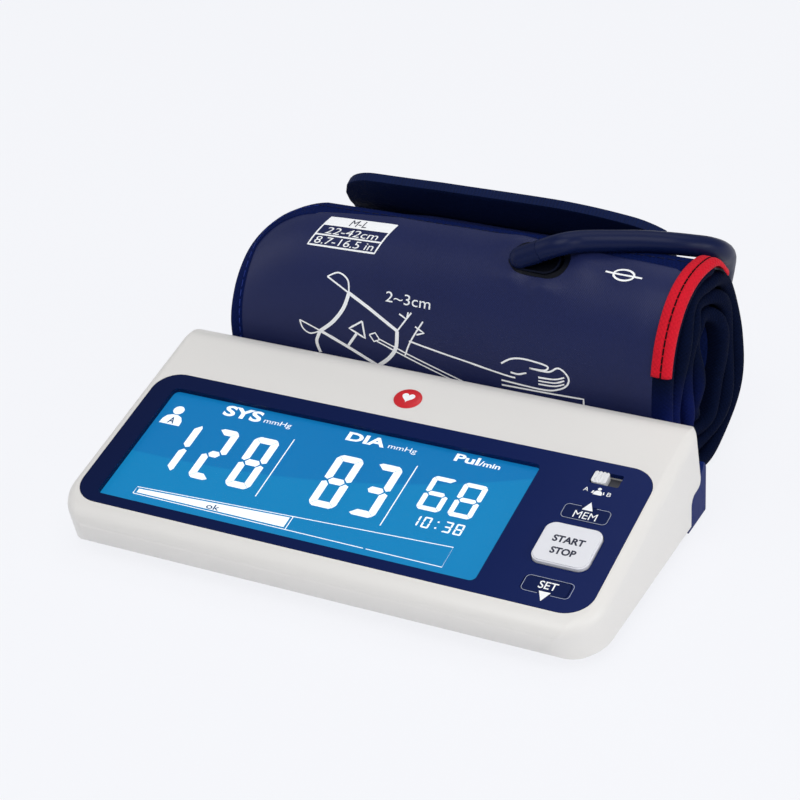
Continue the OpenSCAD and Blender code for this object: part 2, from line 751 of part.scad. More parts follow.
// ---- air system ----
module air_pump() {
    color([0.2, 0.2, 0.22]) body_frame() translate([pump_u, pump_y, pump_z]) rotate([-90, 0, 0]) {
        difference() {
            cylinder(h = pump_head_l, r = pump_d / 2);
            for (a = [45 : 90 : 315]) rotate([0, 0, a]) translate([pump_d / 2 - 1.9, 0, -cut])
                cylinder(h = cut + 1, r = 1.3);
        }
        translate([0, 3.6, -3]) cylinder(h = 3 + tiny, r = nozzle_r + 0.4);
    }
}
module pump_motor() {
    color([0.72, 0.72, 0.74]) body_frame() translate([pump_u, pump_y + pump_head_l + 0.02, pump_z]) rotate([-90, 0, 0]) {
        cylinder(h = pump_motor_l - 1, r = pump_d / 2 - 0.1);
        cylinder(h = pump_motor_l, r = 3);
    }
}
module air_valve() {
    color([0.3, 0.3, 0.32]) body_frame() translate([valve_u, valve_y, base_z + floor_t + valve_r + 0.05]) {
        rotate([-90, 0, 0]) {
            cylinder(h = valve_l, r = valve_r);
            translate([0, 0.6, -2.4]) cylinder(h = 2.4 + tiny, r = nozzle_r);
        }
        translate([-3.5, 1, -valve_r]) cube([7, 4, valve_r]);
    }
}
module pressure_sensor() {
    color([0.85, 0.85, 0.83]) deck_frame() translate([sensor_at[0], sensor_at[1], -board_bottom]) {
        translate([0, 0, -2.4]) linear_extrude(2.4) rounded_rect(8, 7, 0.4);
        translate([0, 0, -4.2]) cylinder(h = 4, r = nozzle_r);
    }
}
module air_lines() {
    sensor_end = deck_point(sensor_at[1], board_bottom + 4.25);
    pump_port = [pump_u, pump_y - 3.02, pump_z - 3.6];
    pump_turn = [pump_u, line_y, pump_port[2]];
    pump_low = [pump_u, line_y, line_z];
    tee = [branch_u, line_y, line_z];
    left_end = [valve_u, line_y, line_z];
    valve_port = [valve_u, valve_y - 2.42, line_z];
    sensor_low = [sensor_at[0], sensor_end[0], line_z - 0.6];
    sensor_tee = [sensor_at[0], line_y, line_z];
    socket_turn = [branch_u, socket_y, socket_z];
    socket_port = [socket_face + socket_l + 2.52, socket_y, socket_z];
    runs = [
        [pump_port, pump_turn], [pump_turn, pump_low], [pump_low, left_end], [left_end, valve_port],
        [tee, socket_turn], [socket_turn, socket_port], [sensor_tee, sensor_low]
    ];
    color([0.85, 0.85, 0.82]) body_frame() {
        for (run = runs) rod(run[0], run[1], line_r);
        for (p = [pump_turn, pump_low, left_end, socket_turn, sensor_low]) translate(p) sphere(line_r);
    }
}
module air_socket() {
    color([0.2, 0.2, 0.22]) body_frame() translate([socket_face, socket_y, socket_z]) rotate([0, 90, 0]) difference() {
        union() {
            cylinder(h = socket_l, r = socket_r);
            translate([0, 0, 3.4]) cylinder(h = 1.2, r = socket_r + 1.2);
            translate([0, 0, socket_l - tiny]) cylinder(h = 2.5, r = nozzle_r);
        }
        translate([0, 0, -cut]) cylinder(h = socket_bore_l + cut, r = socket_bore_r);
        translate([0, 0, -cut]) cylinder(h = socket_l + 4, r = 0.6);
    }
}

// ---- fasteners and feet ----
module feet() {
    color([0.2, 0.2, 0.22]) body_frame() for (p = foot_places) {
        translate([p[0], p[1], 0]) cylinder(h = base_z + 0.8, r = foot_d / 2);
    }
}
module screw(shank_l, head_r, head_t, r) {
    difference() {
        union() {
            cylinder(h = head_t, r = head_r);
            cylinder(h = head_t + shank_l, r = r);
        }
        for (a = [0, 90]) rotate([0, 0, a]) translate([-head_r * 0.6, -0.2, -cut])
            cube([head_r * 1.2, 0.4, cut + head_t * 0.5]);
    }
}
module housing_screws() {
    color([0.7, 0.7, 0.72]) body_frame() for (sx = [-1, 1], y = boss_ys) {
        translate([sx * boss_u, y, base_z + 0.1]) screw(6.5, 2, 1, screw_r);
    }
}
module board_screws_set() {
    color([0.7, 0.7, 0.72]) deck_frame() for (p = board_screws) {
        translate([p[0], p[1], -board_bottom - 1]) screw(board_t + 1.8, 1.7, 1, 0.8);
    }
}

// ---- cuff: one long sheet wound into a roll ----
// s is the angle wound from the outer end at the top front, d the depth into the sheet
roll_start = 83;
wrap_step = 9;
wrap_window = [300, 66];
pitch = cuff_t + wrap_gap;
corner_cut = 20;
mm_per_degree = 0.5;
function ease(t) = let (c = min(max(t, 0), 1)) c * c * (3 - 2 * c);
function wraps(s) = s < 0 ? 0 : floor(s / 360) + ease((s - 360 * floor(s / 360) - wrap_window[0]) / wrap_window[1]);
function signed_pow(value, power) = sign(value) * pow(abs(value), power);
function roll_side(s, d) = let (
    inwards = pitch * wraps(s) + d,
    y = (roll_a - inwards) * signed_pow(cos(roll_start + s), 2 / roll_power),
    z = (roll_b - inwards) * signed_pow(sin(roll_start + s), 2 / roll_power)
) [roll_yc + y + roll_lean * z, roll_zc + z];
function roll_point(s, x, d) = let (p = roll_side(s, d))
    [x + roll_drift * (p[0] - roll_yc + roll_a), p[0], p[1]];
// how far the round corner of the outer end cuts in at s
function corner_in(s) = let (run = corner_cut - min(s * mm_per_degree, corner_cut))
    corner_cut - sqrt(corner_cut * corner_cut - run * run);
cuff_right = cuff_left + cuff_w;
roll_end = 360 * roll_turns;
nylon_t = 0.9;
bladder_t = 1.7;
end_band = 2 * wrap_step;
seam_gap = 0.05;
layer_gap = 0.03;
// all strips are divided at the same angles, so that their layers lie flat on each other
function steps(s0, s1) = concat([s0],
    [for (k = [floor(s0 / wrap_step) + 1 : 1 : ceil(s1 / wrap_step) - 1]) k * wrap_step], [s1]);

// a strip of the sheet: left and right are functions of s
module wound_strip(s0, s1, left, right, d0, d1) {
    at = steps(s0, s1);
    n = len(at);
    points = [for (s = at) each [
        roll_point(s, left(s), d0), roll_point(s, right(s), d0),
        roll_point(s, right(s), d1), roll_point(s, left(s), d1)
    ]];
    sides = [for (i = [0 : n - 2], k = [0 : 3]) let (
        a = 4 * i + k, b = 4 * i + (k + 1) % 4
    ) each (k == 3 ? [[a, a + 4, b + 4], [a, b + 4, b]] : [[a, a + 4, b], [b, a + 4, b + 4]])];
    m = 4 * (n - 1);
    ends = [[0, 1, 2], [0, 2, 3], [m, m + 2, m + 1], [m, m + 3, m + 2]];
    polyhedron(points, concat(sides, ends));
}
function panel_left(s) = cuff_left + binding_w + corner_in(s);
function panel_right(s) = cuff_right - tape_w;
module cuff_outer_panel() {
    color([0.14, 0.16, 0.3]) body_frame() difference() {
        wound_strip(end_band, roll_end, function (s) panel_left(s), function (s) panel_right(s), 0, nylon_t);
        port_hole();
    }
}
bladder_span = [3, 49] * wrap_step;
module cuff_bladder() {
    color([0.25, 0.25, 0.27]) body_frame() difference() {
        wound_strip(bladder_span[0], bladder_span[1],
            function (s) panel_left(s) + 12, function (s) panel_right(s) - 12,
            nylon_t + layer_gap, nylon_t + bladder_t - layer_gap);
        port_hole();
    }
}
module cuff_inner_panel() {
    color([0.08, 0.14, 0.36]) body_frame()
        wound_strip(end_band, roll_end, function (s) panel_left(s), function (s) panel_right(s),
            nylon_t + bladder_t, cuff_t);
}
module left_binding() {
    color([0.05, 0.1, 0.42]) body_frame()
        wound_strip(0, roll_end, function (s) cuff_left + corner_in(s), function (s) panel_left(s) - seam_gap,
            -0.1, cuff_t + 0.1);
}
module right_binding() {
    color([0.05, 0.1, 0.42]) body_frame()
        wound_strip(0, roll_end, function (s) panel_right(s) + seam_gap, function (s) cuff_right, 0.2, cuff_t + 0.1);
}
module end_binding() {
    color([0.05, 0.1, 0.42]) body_frame()
        wound_strip(0, end_band - 0.1, function (s) panel_left(s) + 0.3, function (s) panel_right(s), -0.1, cuff_t + 0.1);
}
tape_span = [-2, 9] * wrap_step;
module red_tape() {
    color([0.85, 0.1, 0.16]) body_frame()
        wound_strip(tape_span[0], tape_span[1], function (s) panel_right(s) + seam_gap, function (s) cuff_right + 0.2,
            -0.5, 0.2 - seam_gap);
}
// free tail: a flap that runs up the back of the roll and stands above it
tail_angles = [-26 : 12 : 46];
tail_top = [[94.6, 66.4], [92.4, 70.6], [90.6, 73.8]];
function tail_side(out) = [for (a = tail_angles) roll_side(a - roll_start + 360, -tail_gap - (out ? tail_t : 0))];
function tail_free(out) = [for (i = [0 : 2]) tail_top[i] - (out ? [0, 0] : [0.86, 0.5] * tail_t)];
module cuff_tail() {
    back = concat(tail_side(true), tail_free(true));
    front = concat(tail_side(false), tail_free(false));
    n = len(front);
    color([0.02, 0.06, 0.14]) body_frame() difference() {
        translate([tail_w / 2 - 50, 0, 0]) across(tail_w)
            polygon(concat(back, [for (i = [n - 1 : -1 : 0]) front[i]]));
        translate([-50, 200, tail_top[2][1]]) rotate([90, 0, 0]) linear_extrude(200) difference() {
            translate([-10, -10]) square(20);
            translate([10, -10]) circle(10);
        }
    }
}
// the port lies in a hole of the outer panel: its own frame has +Z out of the cuff
port_s = 33;
port_x = 25.5;
port_w = 16;
port_l = 9;
port_c = roll_side(port_s, 0);
port_along = roll_side(port_s + 3, 0) - roll_side(port_s - 3, 0);
port_tilt = atan2(-port_along[1], -port_along[0]);
port_depth = nylon_t + bladder_t;
elbow_from = [-4, -1, 0.9];
elbow_way = [0.87, 0.36, 0.25] / norm([0.87, 0.36, 0.25]);
elbow_l = 6.5;
function port_out(p) = [
    port_x + p[0],
    port_c[0] + p[1] * cos(port_tilt) - p[2] * sin(port_tilt),
    port_c[1] + p[1] * sin(port_tilt) + p[2] * cos(port_tilt)
];
module port_frame() {
    translate([port_x, port_c[0], port_c[1]]) rotate([port_tilt, 0, 0]) children();
}
module port_hole() {
    port_frame() translate([0, 0, -port_depth - 0.4]) linear_extrude(port_depth + 3)
        rounded_rect(port_w + 0.5, port_l + 0.5, port_l / 2);
}
module hose_port() {
    color([0.05, 0.07, 0.15]) body_frame() port_frame() {
        translate([0, 0, -port_depth + 0.1]) linear_extrude(0.8) rounded_rect(port_w, port_l, port_l / 2 - 0.2);
        difference() {
            translate([0, 0, -port_depth + 0.1]) linear_extrude(port_depth + 0.2)
                rounded_rect(port_w, port_l, port_l / 2 - 0.2);
            translate([0, 0, -port_depth]) linear_extrude(port_depth + 3)
                rounded_rect(port_w - 1.2, port_l - 1.2, port_l / 2 - 0.8);
        }
        intersection() {
            union() {
                translate(elbow_from) sphere(hose_d / 2);
                translate(elbow_from) rotate([0, acos(elbow_way[2]), atan2(elbow_way[1], elbow_way[0])])
                    cylinder(h = elbow_l, r = hose_d / 2 + 0.02);
            }
            translate([-deep / 2, -deep / 2, -port_depth + 0.1]) cube(deep);
        }
    }
}

// ---- hose ----
function unit(v) = v / norm(v);
function square_to(normal, tangent) = unit(normal - tangent * (normal * tangent));
function carry(tangents, normal, i = 0) = i == len(tangents) ? [] :
    let (n = square_to(normal, tangents[i])) concat([n], carry(tangents, n, i + 1));
function tangent_at(p, i) = unit(p[min(i + 1, len(p) - 1)] - p[max(i - 1, 0)]);
// smooth curve through hand-chosen points, with n steps to a span
function between(p, i, t) = let (
    a = p[max(i - 1, 0)], b = p[i], c = p[i + 1], d = p[min(i + 2, len(p) - 1)]
) 0.5 * (2 * b + (c - a) * t + (2 * a - 5 * b + 4 * c - d) * t * t + (3 * b - a - 3 * c + d) * t * t * t);
function smooth(p, n) = concat([for (i = [0 : len(p) - 2], k = [0 : n - 1]) between(p, i, k / n)], [p[len(p) - 1]]);
module tube(p, r, sides, first, start_way, end_way) {
    n = len(p);
    tangents = [for (i = [0 : n - 1]) i == 0 ? unit(start_way) : i == n - 1 ? unit(end_way) : tangent_at(p, i)];
    normals = carry(tangents, first);
    points = [for (i = [0 : n - 1], k = [0 : sides - 1]) let (a = 360 * k / sides)
        p[i] + r * (cos(a) * normals[i] + sin(a) * cross(tangents[i], normals[i]))];
    walls = [for (i = [0 : n - 2], k = [0 : sides - 1]) let (
        a = i * sides + k, b = i * sides + (k + 1) % sides
    ) each [[a, a + sides, b], [b, a + sides, b + sides]]];
    m = (n - 1) * sides;
    caps = [for (k = [1 : sides - 2]) each [[0, k, k + 1], [m, m + k + 1, m + k]]];
    polyhedron(points, concat(walls, caps));
}
coil_c = [-40, 145.5];
coil_z = 4.2;
coil_rise = 7.1;
hose_start = port_out(elbow_from + elbow_way * (elbow_l + 0.02));
hose_next = port_out(elbow_from + elbow_way * (elbow_l + hose_d));
hose_route = concat([hose_start, hose_next], [
    [38, 72.6, 72.6], [46, 77, 72.9], [54, 80.8, 72.9], [61.4, 83.9, 72.8], [67.4, 87, 72], [71.6, 91.2, 70],
    [73.4, 96, 66.2], [73.2, 100.6, 60.6], [71.8, 104, 54.4], [69.4, 106.6, 47.4], [66.6, 108.2, 40],
    [63.6, 109.2, 32.4], [59.4, 110, 25], [54.6, 110.6, 18], [48.4, 111, 12.2], [41, 111.3, 8], [33, 111.5, 5.4],
    [24, 111.5, 4.4], [12, 111.5, 4.2], [0, 111.5, 4.2], [-16, 111.5, 4.2], [-32, 111.5, 4.2], [coil_c[0] + 0.02, 111.5, 4.2]
]);
module air_hose() {
    color([0.1, 0.16, 0.35]) body_frame()
        tube(smooth(hose_route, 3), hose_d / 2, 8, [0, 0, 1], port_out(elbow_way) - port_out([0, 0, 0]), [-1, 0, 0]);
}
// one and a half turns, the second lying on the first, then a straight end down to the plug
coil_turn = 540;
coil_ring = 15;
coil_exit = [[8, -0.2], [18, -1.6], [28, -3.4], [38, -4.6], [46, -4.8]];
function coil_height(a) = coil_z + coil_rise * ease((a - 250) / 100);
coil_path = concat(
    [for (a = [0 : coil_ring : coil_turn])
        [coil_c[0] - coil_r * sin(a), coil_c[1] - coil_r * cos(a), coil_height(a)]],
    [for (p = coil_exit) [coil_c[0] + p[0], coil_c[1] + coil_r, coil_z + coil_rise + p[1]]]
);
coil_gap = min([for (i = [0 : len(coil_path) - 1], j = [0 : len(coil_path) - 1])
    if (j > i + 8) norm(coil_path[i] - coil_path[j])]) - hose_d;
echo(least_gap_of_coil = coil_gap, gap_between_wraps = wrap_gap);
module hose_coil() {
    color([0.1, 0.16, 0.35]) body_frame() tube(coil_path, hose_d / 2, 6, [0, 0, 1], [-1, 0, 0], [1, 0, 0]);
}
module coil_tie() {
    tie_t = 0.6;
    tall = coil_rise + hose_d + 0.7;
    wide = hose_d + 1.2;
    middle = coil_z + coil_rise / 2;
    color([0.08, 0.08, 0.1]) body_frame() translate([coil_c[0] - coil_r, coil_c[1] + 4, middle]) rotate([90, 0, 0])
        linear_extrude(8) difference() {
            rounded_rect(wide + 2 * tie_t, tall + 2 * tie_t, 2.4);
            rounded_rect(wide, tall, 1.6);
        }
}
plug_at = coil_path[len(coil_path) - 1];
module air_plug() {
    grip_r = plug_at[2] - 0.1;
    color([0.15, 0.16, 0.2]) body_frame() translate(plug_at + [0.02, 0, 0]) rotate([0, 90, 0]) difference() {
        union() {
            cylinder(h = 2, r1 = hose_d / 2 + 0.6, r2 = grip_r);
            translate([0, 0, 2 - tiny]) cylinder(h = plug_grip_l, r = grip_r);
            translate([0, 0, plug_grip_l + 2 - 2 * tiny]) cylinder(h = 8, r = plug_nozzle_r);
        }
        for (i = [1 : 4]) translate([0, 0, i * 3]) difference() {
            cylinder(h = 1, r = grip_r + cut);
            cylinder(h = 1, r = grip_r - 0.5);
        }
        translate([0, 0, plug_grip_l]) cylinder(h = 20, r = 0.9);
    }
}

top_cover();
base_shell();
display_fascia();
display_window();
lcd_glass();
backlight_panel();
lcd_frame();
connector_strip();
main_board();
board_chips();
tact_switches();
slide_switch_body();
buzzer();
start_stop_button();
mem_key();
set_key();
user_switch_knob();
switch_shutter();
battery_cells();
battery_contacts();
battery_door();
dc_jack();
air_pump();
pump_motor();
air_valve();
pressure_sensor();
air_lines();
air_socket();
feet();
housing_screws();
board_screws_set();  // board_screws
cuff_outer_panel();
cuff_bladder();
cuff_inner_panel();
left_binding();
right_binding();
end_binding();
red_tape();
cuff_tail();
hose_port();
air_hose();
hose_coil();
coil_tie();
air_plug();
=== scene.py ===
"""Looks of the desk-top blood pressure monitor, its rolled arm cuff and its air hose.

Sizes are in millimetres until a point is placed. "u, v, h" are places on the tilted deck: to the
right, up the deck and out of it. "s, x, d" are places on the cuff sheet: degrees wound from its
outer end, width, and depth into the sheet.
"""

import json
import math

import bmesh
import bpy
import numpy as np
from mathutils import Matrix, Vector

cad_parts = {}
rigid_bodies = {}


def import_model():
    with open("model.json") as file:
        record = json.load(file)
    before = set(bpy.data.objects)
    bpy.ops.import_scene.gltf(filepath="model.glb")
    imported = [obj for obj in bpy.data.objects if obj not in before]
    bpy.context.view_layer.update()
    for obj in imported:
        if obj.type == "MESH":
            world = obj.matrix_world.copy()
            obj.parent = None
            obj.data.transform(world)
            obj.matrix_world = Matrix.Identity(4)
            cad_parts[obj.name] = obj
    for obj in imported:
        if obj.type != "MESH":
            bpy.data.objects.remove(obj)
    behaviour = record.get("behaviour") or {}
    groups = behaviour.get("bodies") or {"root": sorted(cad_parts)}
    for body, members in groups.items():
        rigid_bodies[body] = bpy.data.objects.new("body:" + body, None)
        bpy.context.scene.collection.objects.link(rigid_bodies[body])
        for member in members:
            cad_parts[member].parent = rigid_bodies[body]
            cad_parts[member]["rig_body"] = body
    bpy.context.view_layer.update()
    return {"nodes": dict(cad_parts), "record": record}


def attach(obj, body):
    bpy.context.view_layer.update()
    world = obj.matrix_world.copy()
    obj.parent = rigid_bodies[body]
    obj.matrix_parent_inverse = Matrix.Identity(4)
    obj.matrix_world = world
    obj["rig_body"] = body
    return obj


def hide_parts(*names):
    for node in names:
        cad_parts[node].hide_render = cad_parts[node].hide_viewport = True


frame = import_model()
nodes = frame["nodes"]

MM = 0.001
FULL_TURN = 360

# ---------------------------------------------------------------- places on the object
DECK_TILT = math.radians(12.8)
DECK_H = 22.5
FRONT_R, FRONT_V = 6.3, 29.25
REAR_R, REAR_V = 9.7, 44.15
SKIN = 0.03


def deck_side(v, d):
    """Side view (y, z) of a point v up the deck and d below its face."""
    return (
        v * math.cos(DECK_TILT) + d * math.sin(DECK_TILT),
        DECK_H + v * math.sin(DECK_TILT) - d * math.cos(DECK_TILT),
    )


FRONT_C = deck_side(-FRONT_V, FRONT_R + SKIN)
REAR_C = deck_side(REAR_V, REAR_R + SKIN)

CUFF_SPACE, ROLL_SHIFT, ROLL_CLEAR = 0.6, 0.7, 0.15
ROLL_A, ROLL_B = 23.0, 34.4
ROLL_YC = REAR_C[0] + REAR_R + CUFF_SPACE + ROLL_A - ROLL_SHIFT
ROLL_ZC = ROLL_B + ROLL_CLEAR
ROLL_POWER, ROLL_LEAN, ROLL_DRIFT = 2.3, 0.03, 0.135
ROLL_START, ROLL_END = 83.0, 1242.0
# each turn climbs onto the one before it over this stretch of degrees
CLIMB_FROM, CLIMB_OVER = 300, 66
PITCH = 5.3
CUFF_T = 4.4
CUFF_LEFT, CUFF_RIGHT = -73.4, 71.3
BINDING_W, TAPE_W = 5.0, 5.2
CORNER_CUT = 20.0
PORT_S, PORT_X = 33.0, 25.5
PORT_W, PORT_L = 16.0, 9.0
MM_PER_DEGREE = 0.5
TAIL_GAP, TAIL_T = 0.9, 3.0
PANEL_Y = -(FRONT_C[0] - FRONT_R + ROLL_YC + ROLL_A + TAIL_GAP + TAIL_T) / 2


def at(x, y, z):
    """A point given in the housing's own millimetres, in the row frame's metres."""
    return Vector((x, y + PANEL_Y, z)) * MM


def on_deck(u, v, h=0.0):
    y, z = deck_side(v, -h)
    return at(u, y, z)


def clamped(t):
    return min(max(t, 0.0), 1.0)


def ease(t):
    """A smooth step from 0 to 1."""
    t = clamped(t)
    return t * t * (3 - 2 * t)


def wraps(s):
    """How many layers of the sheet lie outside it at s."""
    turn = math.floor(s / FULL_TURN)
    return 0.0 if s < 0 else turn + ease((s - FULL_TURN * turn - CLIMB_FROM) / CLIMB_OVER)


def signed_power(value, power):
    return math.copysign(abs(value) ** power, value)


def roll_side(s, d):
    """Side view (y, z) of the flattened roll at s, d into the sheet."""
    inwards = PITCH * wraps(s) + d
    a = math.radians(ROLL_START + s)
    y = (ROLL_A - inwards) * signed_power(math.cos(a), 2 / ROLL_POWER)
    z = (ROLL_B - inwards) * signed_power(math.sin(a), 2 / ROLL_POWER)
    return ROLL_YC + y + ROLL_LEAN * z, ROLL_ZC + z


PORT_C = roll_side(PORT_S, 0)
PORT_BEFORE, PORT_AFTER = roll_side(PORT_S - 3, 0), roll_side(PORT_S + 3, 0)
PORT_TILT = math.atan2(PORT_BEFORE[1] - PORT_AFTER[1], PORT_BEFORE[0] - PORT_AFTER[0])


# the roll gives way from these x on, over these lengths, and from this far under its middle
SAG_LEFT_X, SAG_LEFT_RUN = -24, 49
SAG_RIGHT_X, SAG_RIGHT_RUN = 20, 51
SAG_UNDER = 6
# its wraps are out of line from this x on both sides, over this length
RAGGED_X, RAGGED_RUN = 35, 36


def sag(x, z):
    """How far the soft roll gives way near its two ends, most at its top."""
    left = clamped((SAG_LEFT_X - x) / SAG_LEFT_RUN)
    right = clamped((x - SAG_RIGHT_X) / SAG_RIGHT_RUN)
    high = clamped((z - ROLL_ZC + SAG_UNDER) / (ROLL_B + SAG_UNDER))
    return (5 * left + 8 * left ** 6 + 2.2 * right ** 1.5) * math.sin(high * math.pi / 2)


def ragged(s, x):
    """How far the wraps under the outer one stand out of line at the roll's two ends."""
    near_end = clamped((abs(x) - RAGGED_X) / RAGGED_RUN) ** 2
    under_outer = ease((s - 90) / 60)
    slow, quick = math.sin(math.radians(1.9 * s)), math.sin(math.radians(4.3 * s + 40))
    return near_end * under_outer * (1.1 * slow + 0.7 * quick)


def on_roll(s, x, d):
    y, z = roll_side(s, d)
    z -= sag(x, z)
    x += ragged(s, x)
    return at(x + ROLL_DRIFT * (y - ROLL_YC + ROLL_A), y, z)


def arc_table(step=1.0):
    """Length wound from the outer end, at each step of s."""
    s = np.arange(-40.0, ROLL_END + step, step)
    points = np.array([roll_side(v, 0.0) for v in s])
    run = np.concatenate([[0], np.cumsum(np.linalg.norm(np.diff(points, axis=0), axis=1))])
    return s, run - np.interp(0.0, s, run)


ARC_S, ARC_MM = arc_table()


def s_at(mm):
    """The s that lies mm along the sheet from its outer end."""
    return float(np.interp(mm, ARC_MM, ARC_S))


def mm_at(s):
    return float(np.interp(s, ARC_S, ARC_MM))


def linked(name, data):
    """A new object that holds the data, in the scene."""
    made = bpy.data.objects.new(name, data)
    bpy.context.scene.collection.objects.link(made)
    return made


# ---------------------------------------------------------------- camera
# the camera, solved from the photo: its place, the way it looks and its upward way
CAMERA_PLACE = (276.7, -476.6, 345.5 + DECK_H)
CAMERA_LOOK, CAMERA_UP = (-0.4164, 0.7587, -0.5010), (-0.182, 0.4704, 0.8635)
SENSOR_W, LENS = 36.0, 104.3


def photo_camera():
    forward = Vector(CAMERA_LOOK).normalized()
    right = forward.cross(Vector(CAMERA_UP)).normalized()
    up = right.cross(forward)
    data = bpy.data.cameras.new("photo_view")
    data.sensor_width = SENSOR_W
    data.lens = LENS
    data.clip_start, data.clip_end = 0.01, 20.0
    camera = linked("photo_view", data)
    place = Matrix((right, up, -forward)).transposed().to_4x4()
    place.translation = at(*CAMERA_PLACE)
    camera.matrix_world = place
    bpy.context.scene.camera = camera


photo_camera()


# ---------------------------------------------------------------- shader groups
def shader_group(name, inputs, outputs):
    """A new node group with (name, kind, default) inputs and (name, kind) outputs."""
    tree = bpy.data.node_groups.new(name, "ShaderNodeTree")
    for label, kind, default in inputs:
        socket = tree.interface.new_socket(label, in_out="INPUT", socket_type="NodeSocket" + kind)
        if default is not None:
            socket.default_value = default
    for label, kind in outputs:
        tree.interface.new_socket(label, in_out="OUTPUT", socket_type="NodeSocket" + kind)
    return tree, tree.nodes.new("NodeGroupInput"), tree.nodes.new("NodeGroupOutput")


def socket_key(key):
    """i1 stands for a socket's number, Base_Color for its label."""
    return int(key[1:]) if key[0] == "i" and key[1:].isdigit() else key.replace("_", " ")


def add(tree, kind, links=None, **values):
    """A node of that kind; values set its properties or sockets, links feed its sockets."""
    node = tree.nodes.new(kind)
    for key, value in values.items():
        if hasattr(node, key):
            setattr(node, key, value)
    for key, value in values.items():
        if not hasattr(node, key):
            node.inputs[socket_key(key)].default_value = value
    for key, source in (links or {}).items():
        tree.links.new(source, node.inputs[key])
    return node


def feed(tree, node, **sources):
    """Links each source into the node's socket of that label."""
    for key, source in sources.items():
        tree.links.new(source, node.inputs[key.replace("_", " ")])


def math_node(tree, operation, *values):
    """The result of a sum of numbers and sockets."""
    node = tree.nodes.new("ShaderNodeMath")
    node.operation = operation
    for i, value in enumerate(values):
        if isinstance(value, (int, float)):
            node.inputs[i].default_value = value
        else:
            tree.links.new(value, node.inputs[i])
    return node.outputs[0]


def times(tree, a, b):
    return math_node(tree, "MULTIPLY", a, b)


def times_plus(tree, a, b, c):
    """a times b plus c."""
    return math_node(tree, "MULTIPLY_ADD", a, b, c)


def ranged(tree, value, low, high):
    """0 where the value is low, 1 where it is high."""
    return add(tree, "ShaderNodeMapRange", {"Value": value}, i1=low, i2=high).outputs[0]


def noise(tree, vector, scale, detail, roughness=0.5, distortion=0.0):
    """Grey noise; its scale is a number or a socket."""
    node = add(
        tree, "ShaderNodeTexNoise", {"Vector": vector},
        Detail=detail, Roughness=roughness, Distortion=distortion,
    )
    if isinstance(scale, (int, float)):
        node.inputs["Scale"].default_value = scale
    else:
        feed(tree, node, Scale=scale)
    return node.outputs[0]


def axes(tree, vector):
    return list(add(tree, "ShaderNodeSeparateXYZ", {"Vector": vector}).outputs)


def object_place(tree):
    return add(tree, "ShaderNodeTexCoord").outputs["Object"]


def cloth_place(tree):
    return add(tree, "ShaderNodeUVMap", uv_map="cloth_map").outputs[0]


def seen_from(tree, place, origin, tilt):
    """Places measured from the origin, in axes tilted about X."""
    return add(
        tree, "ShaderNodeMapping", {"Vector": place},
        vector_type="TEXTURE", Location=tuple(origin), Rotation=(tilt, 0.0, 0.0),
    ).outputs[0]


def make_moulded_grain():
    """Fine spark-eroded grain, a slow tone change and faint handling marks of moulded plastic."""
    tree, given, out = shader_group(
        "moulded_grain",
        [("Vector", "Vector", None), ("Grain Scale", "Float", 2600.0), ("Tone Scale", "Float", 18.0)],
        [("Height", "Float"), ("Tone", "Float"), ("Marks", "Float")],
    )
    place = given.outputs["Vector"]
    feed(
        tree, out,
        Height=noise(tree, place, given.outputs["Grain Scale"], 3.0, 0.6),
        Tone=noise(tree, place, given.outputs["Tone Scale"], 2.0),
        Marks=ranged(tree, noise(tree, place, 160.0, 5.0, 0.7, distortion=1.2), 0.52, 0.78),
    )
    return tree


def make_woven_cloth():
    """Plain weave from a surface map in metres: crossing threads, slubs and their shade."""
    tree, given, out = shader_group(
        "woven_cloth",
        [("Vector", "Vector", None), ("Threads", "Float", 2200.0)],
        [("Height", "Float"), ("Shade", "Float")],
    )
    source = {"Vector": given.outputs["Vector"], "Scale": given.outputs["Threads"]}
    threads = add(tree, "ShaderNodeVectorMath", source, operation="SCALE").outputs[0]
    across, along = [math_node(tree, "SINE", times(tree, axis, math.pi)) for axis in axes(tree, threads)[:2]]
    crossing = times_plus(tree, times(tree, across, along), 0.5, 0.5)
    slubs = noise(tree, threads, 0.35, 4.0, 0.65)
    feed(
        tree, out,
        Height=times_plus(tree, slubs, 0.4, crossing),
        Shade=times_plus(tree, crossing, 0.35, times(tree, slubs, 0.65)),
    )
    return tree


def make_napped_pile():
    """Short brushed loops: clumps of fibre with a soft broken shade."""
    tree, given, out = shader_group(
        "napped_pile",
        [("Vector", "Vector", None), ("Pile Scale", "Float", 900.0)],
        [("Height", "Float"), ("Shade", "Float")],
    )
    place = given.outputs["Vector"]
    clumps = add(tree, "ShaderNodeTexVoronoi", {"Vector": place, "Scale": given.outputs["Pile Scale"]})
    fibres = noise(tree, place, 1400.0, 4.0, 0.75)
    broad = noise(tree, place, 45.0, 3.0, 0.6)
    feed(
        tree, out,
        Height=times_plus(tree, fibres, 0.7, clumps.outputs["Distance"]),
        Shade=times_plus(tree, fibres, 0.5, times(tree, broad, 0.5)),
    )
    return tree


GRAIN = make_moulded_grain()
WEAVE = make_woven_cloth()
PILE = make_napped_pile()


def rgb(r, g, b):
    """Linear colour from 0-255 screen values."""
    def linear(c):
        c /= 255
        return c / 12.92 if c <= 0.04045 else ((c + 0.055) / 1.055) ** 2.4
    return (linear(r), linear(g), linear(b), 1.0)


def new_material(name, **sockets):
    """A material with its tree and its shader, whose sockets are set."""
    material = bpy.data.materials.new(name)
    material.use_nodes = True
    tree = material.node_tree
    shader = tree.nodes["Principled BSDF"]
    for key, value in sockets.items():
        shader.inputs[key.replace("_", " ")].default_value = value
    return material, tree, shader


